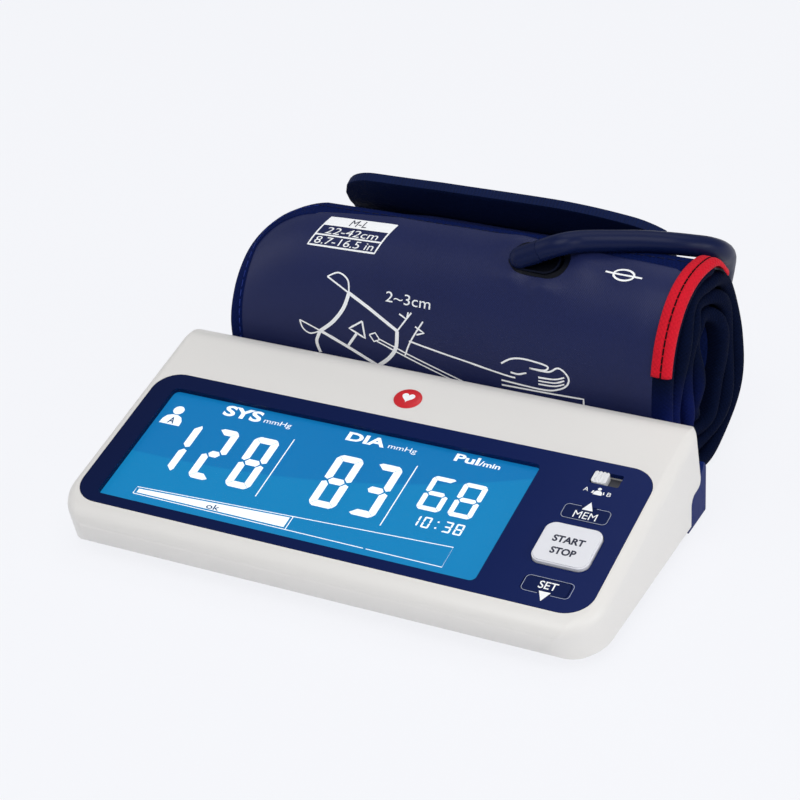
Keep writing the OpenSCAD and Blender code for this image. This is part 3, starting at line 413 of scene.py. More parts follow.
def grouped(tree, group, vector, **values):
    """The outputs of a shader group that follows the vector."""
    node = tree.nodes.new("ShaderNodeGroup")
    node.node_tree = group
    feed(tree, node, Vector=vector)
    for key, value in values.items():
        node.inputs[key.replace("_", " ")].default_value = value
    return node.outputs


def shaded(colour, share):
    return tuple(c * share for c in colour[:3]) + (1.0,)


def mixed_colour(tree, factor, a, b):
    """Colour a where the factor is 0 and b where it is 1."""
    node = tree.nodes.new("ShaderNodeMix")
    node.data_type = "RGBA"
    tree.links.new(factor, node.inputs["Factor"])
    # sockets 6 and 7 are the colours A and B
    for i, colour in ((6, a), (7, b)):
        if isinstance(colour, tuple):
            node.inputs[i].default_value = colour
        else:
            tree.links.new(colour, node.inputs[i])
    return node.outputs[2]


def bumped(tree, shader, height, strength, distance):
    bump_node = add(tree, "ShaderNodeBump", {"Height": height}, Strength=strength, Distance=distance)
    feed(tree, shader, Normal=bump_node.outputs[0])


def moulded(
    name, colour, roughness=0.38, tone=0.94, grain=2600.0, depth=0.00002, coat=0.0, marks=0.12, **more
):
    """Moulded plastic or rubber: grain, slow tone change and faint handling marks."""
    material, tree, shader = new_material(name, IOR=1.5, Coat_Weight=coat, Coat_Roughness=0.12, **more)
    surface = grouped(tree, GRAIN, object_place(tree), Grain_Scale=grain)
    feed(
        tree, shader,
        Base_Color=mixed_colour(tree, surface["Tone"], shaded(colour, tone), colour),
        Roughness=times_plus(tree, surface["Marks"], marks, roughness),
    )
    bumped(tree, shader, surface["Height"], 0.5, depth)
    return material


def metal(name, colour, roughness=0.3, streaks=60.0):
    """Plated or drawn metal with streaks along its length."""
    material, tree, shader = new_material(name, Metallic=1.0)
    across = streaks * 20
    drawn = add(tree, "ShaderNodeMapping", {"Vector": object_place(tree)}, Scale=(streaks, across, across))
    lines = noise(tree, drawn.outputs[0], 4.0, 3.0)
    feed(
        tree, shader,
        Base_Color=mixed_colour(tree, lines, shaded(colour, 0.75), colour),
        Roughness=times_plus(tree, lines, 0.25, roughness),
    )
    bumped(tree, shader, lines, 0.3, 0.00002)
    return material


def cloth(name, light, dark, threads=2200.0, depth=0.00012, roughness=0.6, sheen=0.0, broad=30.0, shine=0.12):
    """Woven cloth that follows its surface map."""
    material, tree, shader = new_material(
        name, Sheen_Weight=sheen, Sheen_Roughness=0.5, Coat_Roughness=0.35, Specular_IOR_Level=shine,
    )
    surface = cloth_place(tree)
    weave = grouped(tree, WEAVE, surface, Threads=threads)
    slow = times(tree, noise(tree, surface, broad, 3.0, 0.55), 0.45)
    feed(
        tree, shader,
        Base_Color=mixed_colour(tree, times_plus(tree, weave["Shade"], 0.55, slow), dark, light),
        Roughness=times_plus(tree, weave["Shade"], 0.2, roughness - 0.1),
    )
    bumped(tree, shader, weave["Height"], 0.6, depth)
    return material


def pile(name, light, dark, scale=900.0, depth=0.0004, sheen=0.02):
    """Brushed loop fabric."""
    material, tree, shader = new_material(
        name, Sheen_Weight=sheen, Sheen_Roughness=0.4, Specular_IOR_Level=0.06,
    )
    loops = grouped(tree, PILE, object_place(tree), Pile_Scale=scale)
    feed(
        tree, shader,
        Base_Color=mixed_colour(tree, loops["Shade"], dark, light),
        Roughness=times_plus(tree, loops["Shade"], 0.15, 0.8),
    )
    bumped(tree, shader, loops["Height"], 0.8, depth)
    return material


def roll_end_binding():
    """Dark binding of the roll's right end, bluer and fuzzy low on its front, where the pile stands out."""
    material, tree, shader = new_material("roll_end_binding", Roughness=0.85, Specular_IOR_Level=0.05)
    place = object_place(tree)
    weave = grouped(tree, WEAVE, cloth_place(tree), Threads=1500.0)
    loops = grouped(tree, PILE, place, Pile_Scale=1200.0)
    y, z = axes(tree, place)[1:]
    low = ranged(tree, z, 0.04, 0.028)
    front = ranged(tree, y, (ROLL_YC - 3 + PANEL_Y) * MM, (ROLL_YC - 9 + PANEL_Y) * MM)
    bound = mixed_colour(tree, weave["Shade"], rgb(2, 7, 24), rgb(6, 17, 48))
    raised = mixed_colour(tree, loops["Shade"], rgb(4, 10, 44), rgb(14, 28, 92))
    feed(tree, shader, Base_Color=mixed_colour(tree, times(tree, low, front), bound, raised))
    bumped(tree, shader, weave["Height"], 0.6, 0.0002)
    return material


def port_finish():
    """Black low in the slot, up to a little over its face; the hose's navy higher up, where the elbow stands
    out of it.
    """
    material, tree, shader = new_material("port_finish", Roughness=0.42, Specular_IOR_Level=0.14)
    place = object_place(tree)
    surface = grouped(tree, GRAIN, place, Grain_Scale=1500.0)
    height = axes(tree, seen_from(tree, place, at(PORT_X, *PORT_C), PORT_TILT))[2]
    black = mixed_colour(tree, surface["Tone"], rgb(3, 5, 14), rgb(6, 9, 20))
    navy = mixed_colour(tree, surface["Tone"], rgb(10, 20, 54), rgb(12, 24, 64))
    feed(tree, shader, Base_Color=mixed_colour(tree, ranged(tree, height, 0.0002, 0.0008), black, navy))
    bumped(tree, shader, surface["Height"], 0.5, 0.00002)
    return material


def printed(name, colour, roughness=0.45, breakup=0.06):
    """Ink on plastic or cloth, a little uneven."""
    material, tree, shader = new_material(name)
    ink_noise = noise(tree, object_place(tree), 900.0, 3.0)
    feed(
        tree, shader,
        Base_Color=mixed_colour(tree, ink_noise, shaded(colour, 1 - breakup * 2), colour),
        Roughness=times_plus(tree, ink_noise, 0.1, roughness),
    )
    return material


def fascia_film():
    """Glossy navy film that gets a little bluer towards the right end."""
    material, tree, shader = new_material("navy_film", IOR=1.5, Specular_IOR_Level=0.08)
    place = object_place(tree)
    surface = grouped(tree, GRAIN, place, Grain_Scale=3000.0)
    along = ranged(tree, axes(tree, place)[0], -0.08, 0.08)
    base = mixed_colour(tree, along, rgb(11, 24, 64), rgb(13, 32, 90))
    feed(
        tree, shader,
        Base_Color=mixed_colour(tree, times(tree, surface["Tone"], 0.25), base, rgb(9, 20, 56)),
        Roughness=times_plus(tree, surface["Marks"], 0.08, 0.2),
    )
    bumped(tree, shader, surface["Height"], 0.2, 0.00001)
    return material


def display_glow():
    """Lit liquid crystal: blue, with a painted reflection edge: a little darker above a curve from lower left
    to upper right.
    """
    material, tree, shader = new_material(
        "display_glow", Roughness=0.5, Specular_IOR_Level=0.15, Emission_Strength=0.72,
    )
    place = object_place(tree)
    u, v = axes(tree, seen_from(tree, place, on_deck(0, 0), DECK_TILT))[:2]
    from_left = math_node(tree, "MAXIMUM", math_node(tree, "ADD", u, 0.074), 0.0)
    curve = times_plus(tree, math_node(tree, "POWER", from_left, 2.4), 3.6, -0.0045)
    # painted reflection: colour and glow step a little darker above this curve, as the edge of a glare on the
    # window
    painted_glare_mask = ranged(tree, math_node(tree, "SUBTRACT", v, curve), -0.0004, 0.0004)
    grain = noise(tree, place, 30.0, 2.0)
    lower = mixed_colour(tree, grain, rgb(14, 134, 196), rgb(20, 142, 203))
    upper = mixed_colour(tree, grain, rgb(13, 122, 190), rgb(16, 130, 197))
    feed(
        tree, shader,
        Base_Color=mixed_colour(tree, painted_glare_mask, rgb(8, 76, 112), rgb(6, 68, 106)),
        Emission_Color=mixed_colour(tree, painted_glare_mask, lower, upper),
    )
    return material


def lit_figure():
    """White segments that glow through the display."""
    material, tree, shader = new_material(
        "lit_figure", Roughness=0.4, Specular_IOR_Level=0.2, Emission_Strength=0.45,
    )
    cells = noise(tree, object_place(tree), 500.0, 2.0)
    white = mixed_colour(tree, cells, rgb(236, 243, 249), rgb(246, 250, 252))
    feed(tree, shader, Base_Color=white, Emission_Color=white)
    return material


def clear_window():
    """Clear plastic with a trace of blue."""
    material, tree, shader = new_material("clear_window", Alpha=0.04, IOR=1.45, Specular_IOR_Level=0.2)
    surface = grouped(tree, GRAIN, object_place(tree), Grain_Scale=1200.0)
    feed(
        tree, shader,
        Base_Color=mixed_colour(tree, surface["Tone"], rgb(16, 66, 104), rgb(22, 76, 116)),
        Roughness=times_plus(tree, surface["Marks"], 0.04, 0.04),
    )
    return material


WHITE_SHELL = moulded("white_shell", rgb(231, 228, 223), roughness=0.4, tone=0.985, marks=0.06)
BLUE_SHELL = moulded("blue_shell", rgb(12, 34, 100), roughness=0.5, tone=0.85, Specular_IOR_Level=0.08)
NAVY_FILM = fascia_film()
WINDOW = clear_window()
GLOW = display_glow()
FIGURE = lit_figure()
BUTTON_GREY = moulded("button_grey", rgb(232, 232, 236), roughness=0.36, tone=0.97, grain=2000.0)
KEY_NAVY = moulded("key_navy", rgb(11, 27, 74), roughness=0.35, tone=0.92, Specular_IOR_Level=0.08)
KNOB_WHITE = moulded("knob_white", rgb(236, 236, 236), roughness=0.35, tone=0.95)
SHUTTER = moulded("shutter_dark", rgb(60, 60, 66), roughness=0.5)
HOLDER = moulded("holder_white", rgb(225, 225, 220), roughness=0.5)
BLACK_PART = moulded("black_part", rgb(26, 26, 30), roughness=0.5, tone=0.8)
EDGE_DARK = roll_end_binding()
PORT_DARK = port_finish()
SILICONE = moulded("silicone", rgb(214, 214, 206), roughness=0.5, tone=0.9)
RUBBER = moulded("rubber_feet", rgb(38, 38, 42), roughness=0.8, tone=0.8, depth=0.00005)
BOARD = moulded("solder_mask", rgb(24, 92, 52), roughness=0.35, tone=0.8, grain=900.0)
STRIP = moulded("zebra_strip", rgb(214, 170, 172), roughness=0.7)
CELL = moulded("cell_sleeve", rgb(40, 42, 48), roughness=0.3, tone=0.8, coat=0.3)
STEEL = metal("plated_steel", (0.62, 0.62, 0.64, 1.0), 0.28)
MOTOR = metal("motor_can", (0.55, 0.55, 0.57, 1.0), 0.36, 30.0)
NYLON = cloth(
    "coated_nylon", rgb(35, 43, 90), rgb(23, 29, 64),
    threads=3200.0, depth=0.00005, roughness=0.36, broad=22.0, shine=0.2,
)
BINDING = cloth(
    "binding_tape", rgb(12, 30, 92), rgb(3, 10, 38), threads=1500.0, depth=0.0002, roughness=0.8, shine=0.06,
)
RED = cloth(
    "red_tape_weave", rgb(236, 26, 48), rgb(170, 12, 30),
    threads=1400.0, depth=0.0002, roughness=0.7, sheen=0.03,
)
FLAP = cloth("flap_cloth", rgb(10, 30, 78), rgb(4, 13, 40), threads=1800.0, depth=0.00015, roughness=0.7)
FLEECE = pile("loop_fleece", rgb(14, 30, 84), rgb(3, 9, 32))
BLADDER = moulded("bladder_rubber", rgb(52, 52, 56), roughness=0.7, tone=0.8)
HOSE = moulded("hose_pvc", rgb(12, 24, 64), roughness=0.36, tone=0.82, grain=1500.0, Specular_IOR_Level=0.16)
INK_WHITE = printed("white_ink", rgb(254, 255, 255), breakup=0.02)
INK_GREY = printed("grey_ink", rgb(158, 166, 188))
INK_NAVY = printed("navy_ink", rgb(28, 32, 58))
INK_RED = printed("red_enamel", rgb(214, 24, 36), roughness=0.25)
THREAD_DARK = cloth("dark_thread", rgb(30, 6, 12), rgb(10, 2, 6), threads=4000.0, depth=0.0001)
THREAD_NAVY = cloth("navy_thread", rgb(26, 32, 72), rgb(14, 18, 44), threads=4000.0, depth=0.0001)
THREAD_BLUE = cloth("blue_thread", rgb(40, 62, 150), rgb(16, 28, 84), threads=4000.0, depth=0.0001)


# ---------------------------------------------------------------- mesh helpers
def new_piece(name, vertices, faces, material, body, smooth=True):
    mesh = bpy.data.meshes.new(name)
    mesh.from_pydata([tuple(v) for v in vertices], [], faces)
    mesh.validate()
    mesh.materials.append(material)
    mesh.polygons.foreach_set("use_smooth", [smooth] * len(mesh.polygons))
    piece = linked(name, mesh)
    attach(piece, body)
    return piece


def evaluated_mesh(piece):
    bpy.context.view_layer.update()
    return bpy.data.meshes.new_from_object(piece.evaluated_get(bpy.context.evaluated_depsgraph_get()))


def finished(node, material, bevel=0.25, angle=32, segments=2):
    """A merged copy of a moulded CAD piece with smooth faces and slightly broken edges."""
    body = nodes[node]["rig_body"]
    mesh = nodes[node].data.copy()
    mesh.name = node + "_finish"
    work = bmesh.new()
    work.from_mesh(mesh)
    bmesh.ops.remove_doubles(work, verts=work.verts, dist=2e-6)
    bmesh.ops.dissolve_limit(work, angle_limit=math.radians(0.6), verts=work.verts, edges=work.edges)
    for edge in work.edges:
        sharp = len(edge.link_faces) != 2 or edge.calc_face_angle(0.0) > math.radians(angle)
        edge.smooth = not sharp
    for face in work.faces:
        face.smooth = True
    work.to_mesh(mesh)
    work.free()
    mesh.materials.clear()
    mesh.materials.append(material)
    for face in mesh.polygons:
        face.material_index = 0
    piece = linked(node + "_finish", mesh)
    broken = piece.modifiers.new("broken_edges", "BEVEL")
    broken.width = bevel * MM
    broken.segments = segments
    broken.limit_method = "ANGLE"
    broken.angle_limit = math.radians(angle)
    broken.harden_normals = True
    broken.use_clamp_overlap = True
    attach(piece, body)
    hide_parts(node)
    return piece


def face_outwards(mesh):
    """Drops loose vertices and turns every face outwards."""
    work = bmesh.new()
    work.from_mesh(mesh)
    bmesh.ops.delete(work, geom=[v for v in work.verts if not v.link_faces], context="VERTS")
    bmesh.ops.recalc_face_normals(work, faces=work.faces)
    work.to_mesh(mesh)
    work.free()


def cell(i, j, n):
    """The corners of a cell in a grid with n points to a row."""
    return [i * n + j, i * n + j + 1, (i + 1) * n + j + 1, (i + 1) * n + j]


def ring_faces(rings, n):
    """Faces between closed rings of n points, with a cap on both ends."""
    faces = []
    for i in range(rings - 1):
        for k in range(n):
            a, b = i * n + k, i * n + (k + 1) % n
            faces.append([a, b, b + n, a + n])
    faces.append(list(range(n))[::-1])
    faces.append([(rings - 1) * n + k for k in range(n)])
    return faces


def joined(name, parts, material, body):
    """One piece from several (vertices, faces) lists."""
    vertices, faces = [], []
    for part_vertices, part_faces in parts:
        base = len(vertices)
        vertices += list(part_vertices)
        faces += [[i + base for i in face] for face in part_faces]
    return new_piece(name, vertices, faces, material, body, smooth=False)


def flat_text(text, bold):
    """(points, faces) of a line of text."""
    data = bpy.data.curves.new("line", "FONT")
    data.body = text
    data.size = 1.0
    data.resolution_u = 4
    data.offset = bold
    helper = linked("line", data)
    mesh = evaluated_mesh(helper)
    points = np.array([v.co[:] for v in mesh.vertices], float)[:, :2]
    faces = [list(f.vertices) for f in mesh.polygons]
    bpy.data.objects.remove(helper)
    bpy.data.curves.remove(data)
    bpy.data.meshes.remove(mesh)
    return points, faces


def fit_text(text, u0, u1, v0, v1, place, bold=0.0):
    """Text stretched into the box u0..u1, v0..v1 and placed by place(u, v)."""
    points, faces = flat_text(text, bold)
    low, high = points.min(0), points.max(0)
    share = (points - low) / (high - low)
    u = u0 + share[:, 0] * (u1 - u0)
    v = v0 + share[:, 1] * (v1 - v0)
    return [place(a, b) for a, b in zip(u, v)], faces


def outline_band(points, width, place, closed=True):
    """A line of even width along flat points, as quads."""
    n = len(points)
    made, faces = [], []
    for i in range(n):
        a = Vector(points[i - 1] if closed or i else points[i])
        b = Vector(points[(i + 1) % n] if closed or i < n - 1 else points[i])
        way = (b - a).normalized()
        side = Vector((-way[1], way[0])) * width / 2
        p = Vector(points[i])
        made += [place(*(p + side)), place(*(p - side))]
    for i in range(n if closed else n - 1):
        j = (i + 1) % n
        faces.append([2 * i, 2 * i + 1, 2 * j + 1, 2 * j])
    return made, faces


def round_box(u0, u1, v0, v1, r, steps=6):
    """The outline of a box with round corners."""
    points = []
    corners = ((u1 - r, v1 - r, 0), (u0 + r, v1 - r, 90), (u0 + r, v0 + r, 180), (u1 - r, v0 + r, 270))
    for cu, cv, start in corners:
        for i in range(steps + 1):
            a = math.radians(start + 90 * i / steps)
            points.append((cu + r * math.cos(a), cv + r * math.sin(a)))
    return points


def polygon(points, place):
    return [place(*p) for p in points], [list(range(len(points)))]


def circle(u, v, wide, tall, steps):
    around = [2 * math.pi * i / steps for i in range(steps)]
    return [(u + wide * math.cos(a), v + tall * math.sin(a)) for a in around]


def disc(u, v, r, place, steps=24):
    return polygon(circle(u, v, r, r, steps), place)


# ---------------------------------------------------------------- housing
finished("top_cover", WHITE_SHELL, bevel=0.3)
finished("base_shell", BLUE_SHELL, bevel=0.25)
finished("display_fascia", NAVY_FILM, bevel=0.12)
finished("start_stop_button", BUTTON_GREY, bevel=0.3, segments=3)
finished("mem_key", KEY_NAVY, bevel=0.12)
finished("set_key", KEY_NAVY, bevel=0.12)
finished("user_switch_knob", KNOB_WHITE, bevel=0.12)
finished("battery_door", BLUE_SHELL, bevel=0.2)
finished("air_plug", BLACK_PART, bevel=0.15)
finished("dc_jack", BLACK_PART, bevel=0.1)
finished("air_socket", BLACK_PART, bevel=0.1)
finished("feet", RUBBER, bevel=0.2)

SLOT_MATERIALS = {
    "window_clear": WINDOW, "lcd_blue": GLOW, "light_white": HOLDER, "holder_white": HOLDER,
    "strip_rubber": STRIP, "board_green": BOARD, "part_black": BLACK_PART, "part_metal": STEEL,
    "shutter_dark": SHUTTER, "cell_shell": CELL, "spring_steel": STEEL, "steel": STEEL,
    "motor_steel": MOTOR, "silicone": SILICONE, "tie_black": BLACK_PART, "rubber_dark": RUBBER,
    "white_abs": WHITE_SHELL, "blue_abs": BLUE_SHELL, "navy_fascia": NAVY_FILM, "button_grey": BUTTON_GREY,
    "key_navy": KEY_NAVY, "knob_white": KNOB_WHITE, "nylon_navy": NYLON, "bladder_rubber": BLADDER,
    "loop_blue": FLEECE, "binding_blue": BINDING, "tape_red": RED, "flap_dark": FLAP, "hose_navy": HOSE,
}
for part in frame["record"]["subparts"]:
    node = nodes[part["node"]]
    node.data.materials.clear()
    node.data.materials.append(SLOT_MATERIALS[part["material_slot"]])
nodes["hose_port"].data.materials[0] = PORT_DARK

# ---------------------------------------------------------------- what the display shows
# the figures lie this far under the deck's face, and the marks over them a little higher
LCD_H, OVER_H = -1.56, 0.02
# the whole picture sits this far above the middle of the glass
LCD_UP = 1.3
SEGMENTS = {"0": "abcdef", "1": "bc", "2": "abged", "3": "abgcd", "6": "afgedc", "8": "abcdefg"}


def lcd(u, v):
    return on_deck(u, v + LCD_UP, LCD_H)


def lcd_over(u, v):
    return on_deck(u, v + LCD_UP, LCD_H + OVER_H)


def segment_shapes(width, height, t, gap):
    """Seven chamfered bars, t wide, of a figure whose lower left corner is the origin."""
    mid = height / 2
    c = t * 0.55

    def level(y0, y1, top):
        """A lying bar at the top (1), at the foot (-1) or in the middle (0)."""
        if top > 0:
            return [
                (gap + c, y1), (width - gap - c, y1), (width - gap - c * 0.2, y1 - c * 0.5),
                (width - t - gap * 0.4, y0), (t + gap * 0.4, y0), (gap + c * 0.2, y1 - c * 0.5),
            ]
        if top < 0:
            return [
                (gap + c, y0), (gap + c * 0.2, y0 + c * 0.5), (t + gap * 0.4, y1),
                (width - t - gap * 0.4, y1), (width - gap - c * 0.2, y0 + c * 0.5), (width - gap - c, y0),
            ]
        return [
            (c + gap, mid), (t + gap * 0.5, y1), (width - t - gap * 0.5, y1),
            (width - c - gap, mid), (width - t - gap * 0.5, y0), (t + gap * 0.5, y0),
        ]

    def upright(outer, inner, y0, y1, upper):
        """A standing bar in the upper or lower half."""
        low, high = y0 + gap, y1 - gap
        shoulder = outer + (inner - outer) * 0.25
        middle = (outer + inner) / 2
        if upper:
            return [
                (outer, low + c * 0.4), (outer, high - c), (shoulder, high - c * 0.3),
                (inner, high - t + gap), (inner, low + t * 0.5), (middle, low),
            ]
        return [
            (outer, high - c * 0.4), (middle, high), (inner, high - t * 0.5),
            (inner, low + t - gap), (shoulder, low + c * 0.3), (outer, low + c),
        ]

    return {
        "a": level(height - t, height, 1),
        "b": upright(width, width - t, mid, height, True),
        "c": upright(width, width - t, 0, mid, False),
        "d": level(0, t, -1),
        "e": upright(0, t, 0, mid, False),
        "f": upright(0, t, mid, height, True),
        "g": level(mid - t / 2, mid + t / 2, 0),
    }


def figure(digit, u0, u1, v0, v1, t, gap):
    parts = []
    shapes = segment_shapes(u1 - u0, v1 - v0, t, gap)
    for name in SEGMENTS[digit]:
        points = [(u0 + x, v0 + y) for x, y in shapes[name]]
        area = sum(a[0] * b[1] - b[0] * a[1] for a, b in zip(points, points[1:] + points[:1]))
        parts.append(polygon(points if area > 0 else points[::-1], lcd))
    return parts


# foot, top, width of a bar, gap between bars
LARGE = (-11, 10, 2.4, 0.36)
MIDDLE = (-3.6, 9.8, 1.6, 0.28)
SMALL = (-10.0, -5.8, 0.55, 0.06)
# figure, left, right, kind
FIGURES = (
    ("1", -64.5, -56.8, LARGE), ("2", -51.6, -44.4, LARGE), ("8", -39.3, -31.0, LARGE),
    ("8", -12.0, -3.4, LARGE), ("3", 0.6, 9.0, LARGE),
    ("6", 18.5, 25.9, MIDDLE), ("8", 28.1, 35.5, MIDDLE),
    ("1", 20.2, 22.0, SMALL), ("0", 23.0, 25.4, SMALL), ("3", 29.4, 31.9, SMALL), ("8", 32.8, 35.3, SMALL),
)
# word, left, right, foot, top, boldness
WORDS = (
    ("SYS", -54.2, -41.5, 15.3, 19.7, 0.035), ("mmHg", -40.3, -31.2, 15.2, 17.6, 0.0),
    ("DIA", -13.2, -0.7, 15.9, 19.4, 0.035), ("mmHg", 0.4, 9.4, 15.7, 18.0, 0.0),
    ("Pul", 21.0, 28.6, 16.8, 19.8, 0.03), ("/min", 28.8, 35.2, 16.9, 18.9, 0.02),
)
DIVIDERS = ([(-27.7, -12.5), (-27.7, 11.8)], [(12.1, -12.7), (12.1, 11.9)])
# a head over shoulders that carry the letter
USER_MARK = [
    (-71.3, 7.2), (-64.4, 7.2), (-64.6, 9.2), (-65.5, 10.7),
    (-66.9, 11.4), (-68.9, 11.4), (-70.3, 10.7), (-71.1, 9.2),
]


def wedge_bar():
    """The rising bar under the figures: its outline and its filled share."""
    left, right, filled = -63.4, 35.4, -13.2
    break_from, break_to = 11.4, 12.2
    fill_from, fill_to = left + 0.9, -14.0

    def top(u):
        return -18.9 + (u - left) / (right - left) * 4.5

    def foot(u):
        return -21.6 - (u - left) / (right - left) * 0.5

    lines = (
        ((left, foot), (filled, foot), (break_from, foot)),
        ((break_to, foot), (right, foot), (right, top), (filled, top), (left, top), (left, foot)),
        ((filled, foot), (filled, top)),
    )
    parts = [outline_band([(u, edge(u)) for u, edge in line], 0.28, lcd, closed=False) for line in lines]
    fill = [
        (fill_from, foot(left) + 0.6), (fill_to, foot(fill_to) + 0.7),
        (fill_to, top(fill_to) - 0.6), (fill_from, top(left) - 0.6),
    ]
    return parts + [polygon(fill, lcd)]


def display_figures():
    shown = []
    for digit, left, right, kind in FIGURES:
        shown += figure(digit, left, right, *kind)
    shown += [disc(27.4, v, 0.32, lcd, 12) for v in (-9.1, -6.8)]
    shown += [fit_text(*word, lcd, bold=bold) for *word, bold in WORDS]
    shown += [outline_band(line, 0.35, lcd, closed=False) for line in DIVIDERS]
    shown += wedge_bar()
    shown += [disc(-67.9, 13.4, 1.75, lcd), polygon(USER_MARK, lcd)]
    joined("display_figures", shown, FIGURE, "housing")


display_figures()
INK_LCD = printed("display_dark", rgb(12, 80, 130))
joined("display_marks", [
    fit_text("ok", -39.6, -35.4, -20.9, -18.9, lcd_over, bold=0.01),
    fit_text("A", -68.9, -66.8, 7.7, 10.3, lcd_over, bold=0.02),
], INK_LCD, "housing")

# ---------------------------------------------------------------- legends on the fascia and the keys
FILM_H, CAP_H = 0.125, 1.33


def film(u, v):
    return on_deck(u, v, FILM_H)


def cap(u, v):
    return on_deck(u, v, CAP_H)


def stepped(a, b, length, step):
    """Points from a on towards b, which lies that length away, about a step apart."""
    n = max(1, int(length / step))
    return [(a[0] + (b[0] - a[0]) * i / n, a[1] + (b[1] - a[1]) * i / n) for i in range(n)]


def key_outline(v0, v1, u0, u1, notch_u, notch_w, notch_up):
    """A round box with a notch in one long side for the arrow."""
    points = round_box(u0, u1, v0, v1, 1.3)
    side = v1 if notch_up else v0
    dense = []
    for a, b in zip(points, points[1:] + points[:1]):
        dense += stepped(a, b, (Vector(b) - Vector(a)).length, 0.4)
    keep = [not (abs(u - notch_u) < notch_w and abs(v - side) < 0.2) for u, v in dense]
    start = next(i for i in range(len(dense)) if not keep[i - 1] and keep[i])
    order = [(start + i) % len(dense) for i in range(len(dense))]
    return outline_band([dense[j] for j in order if keep[j]], 0.18, film, closed=False)


joined("key_outlines", [
    key_outline(4.9, 10.1, 59.3, 72.7, 65.9, 1.9, True),
    key_outline(-23.2, -17.6, 59.6, 73.4, 66.5, 1.8, False),
], INK_GREY, "housing")
# the two users over the switch, and the arrows in the keys' notches
FASCIA_MARKS = (
    [(64.8, 15.2), (67.4, 15.2), (67.3, 16.2), (66.7, 16.8), (65.5, 16.8), (64.9, 16.2)],
    [(64.2, 15.6), (64.7, 15.6), (64.8, 16.7), (64.4, 16.6)],
    [(67.6, 15.6), (68.0, 15.7), (67.7, 16.8), (67.5, 16.6)],
    [(64.2, 8.9), (67.4, 8.9), (65.8, 12.1)],
    [(66.6, -25.7), (64.8, -22.3), (68.2, -22.3)],
)
joined("fascia_legends", [
    fit_text("A", 61.7, 63.1, 15.9, 17.4, film),
    fit_text("B", 68.7, 69.9, 15.4, 16.9, film),
    disc(66.1, 17.5, 0.55, film, 12),
    *[polygon(mark, film) for mark in FASCIA_MARKS],
], INK_WHITE, "housing")
joined("mem_word", [fit_text("MEM", 62.7, 69.4, 5.6, 8.2, film)], INK_WHITE, "memory_key")
set_letters = fit_text("SET", 63.9, 69.2, -21.4, -18.7, film, bold=0.012)
joined("set_word", [set_letters], INK_WHITE, "setting_key")
joined("start_stop_words", [
    fit_text("START", 61.4, 70.6, -5.4, -2.9, cap, bold=0.035),
    fit_text("STOP", 62.4, 69.7, -9.7, -7.2, cap, bold=0.035),
], INK_NAVY, "start_button")


# ---------------------------------------------------------------- heart badge on the deck
def heart_points(u, v, size, steps=40):
    points = []
    for i in range(steps):
        t = 2 * math.pi * i / steps
        x = 16 * math.sin(t) ** 3
        y = 13 * math.cos(t) - 5 * math.cos(2 * t) - 2 * math.cos(3 * t) - math.cos(4 * t)
        points.append((u + x * size / 16, v + (y + 2.5) * size / 16))
    return points[::-1]


def badge():
    """A low red oval with a crowned face and a plain white heart."""
    centre_u, centre_v, wide, tall = -1.8, 36.6, 4.3, 4.0
    heart_size, heart_h = 2.0, 0.43
    n = 48
    # each ring's share of the oval and its height over the deck
    rings = ((1.0, -0.1), (1.0, 0.18), (0.95, 0.3), (0.7, 0.38), (0.35, 0.42))
    vertices = []
    for k, h in rings:
        vertices += [on_deck(u, v, h) for u, v in circle(centre_u, centre_v, wide * k, tall * k, n)]
    new_piece("badge_oval", vertices, ring_faces(len(rings), n), INK_RED, "housing")
    heart = polygon(heart_points(centre_u, centre_v, heart_size), lambda u, v: on_deck(u, v, heart_h))
    joined("badge_heart", [heart], INK_WHITE, "housing")


badge()


# ---------------------------------------------------------------- cuff
# the end's band, in degrees from the outer end; the nylon and the fleece go a little way in under it
END_BAND = 18.0
PANEL_FROM = END_BAND - 1.5
# the outer wrap's relief ends here
RELIEF_END = 330


def map_cloth(piece, coordinates):
    """Gives a piece its surface map, in metres, from one (across, along) per vertex."""
    layer = piece.data.uv_layers.new(name="cloth_map")
    index = np.zeros(len(piece.data.loops), np.int32)
    piece.data.loops.foreach_get("vertex_index", index)
    layer.data.foreach_set("uv", np.array(coordinates, np.float32)[index].ravel())


def bump(value, centre, width):
    return math.exp(-((value - centre) / width) ** 2)


def cloth_relief(s, x):
    """How far the outer panel stands out, mm: long soft waves, quilting and puckers at the port."""
    if s > RELIEF_END:
        return 0.0
    mm = mm_at(s)
    waves = 0.25 * math.sin(x / 19 + 0.6) * math.sin(mm / 23) + 0.16 * math.sin(x / 8.5 + mm / 17)
    beside_tape = 0.8 * bump(x, 59.5, 4.5) * bump(mm, 40, 15)
    left_fold = 0.35 * bump(x, -52, 9) * bump(mm, 22, 9)
    dx, dm = x - PORT_X, mm - mm_at(PORT_S)
    reach = math.hypot(dx / 13, dm / 9)
    turn = math.atan2(dm, dx)
    pucker = 0.8 * bump(reach, 0.95, 0.35) * (0.6 + 0.4 * math.cos(5 * turn + 0.7))
    hollow = 0.3 * bump(reach, 1.7, 0.4) * (0.6 + 0.4 * math.cos(3 * turn))
    return max(waves + beside_tape + pucker - hollow + left_fold, -0.35)


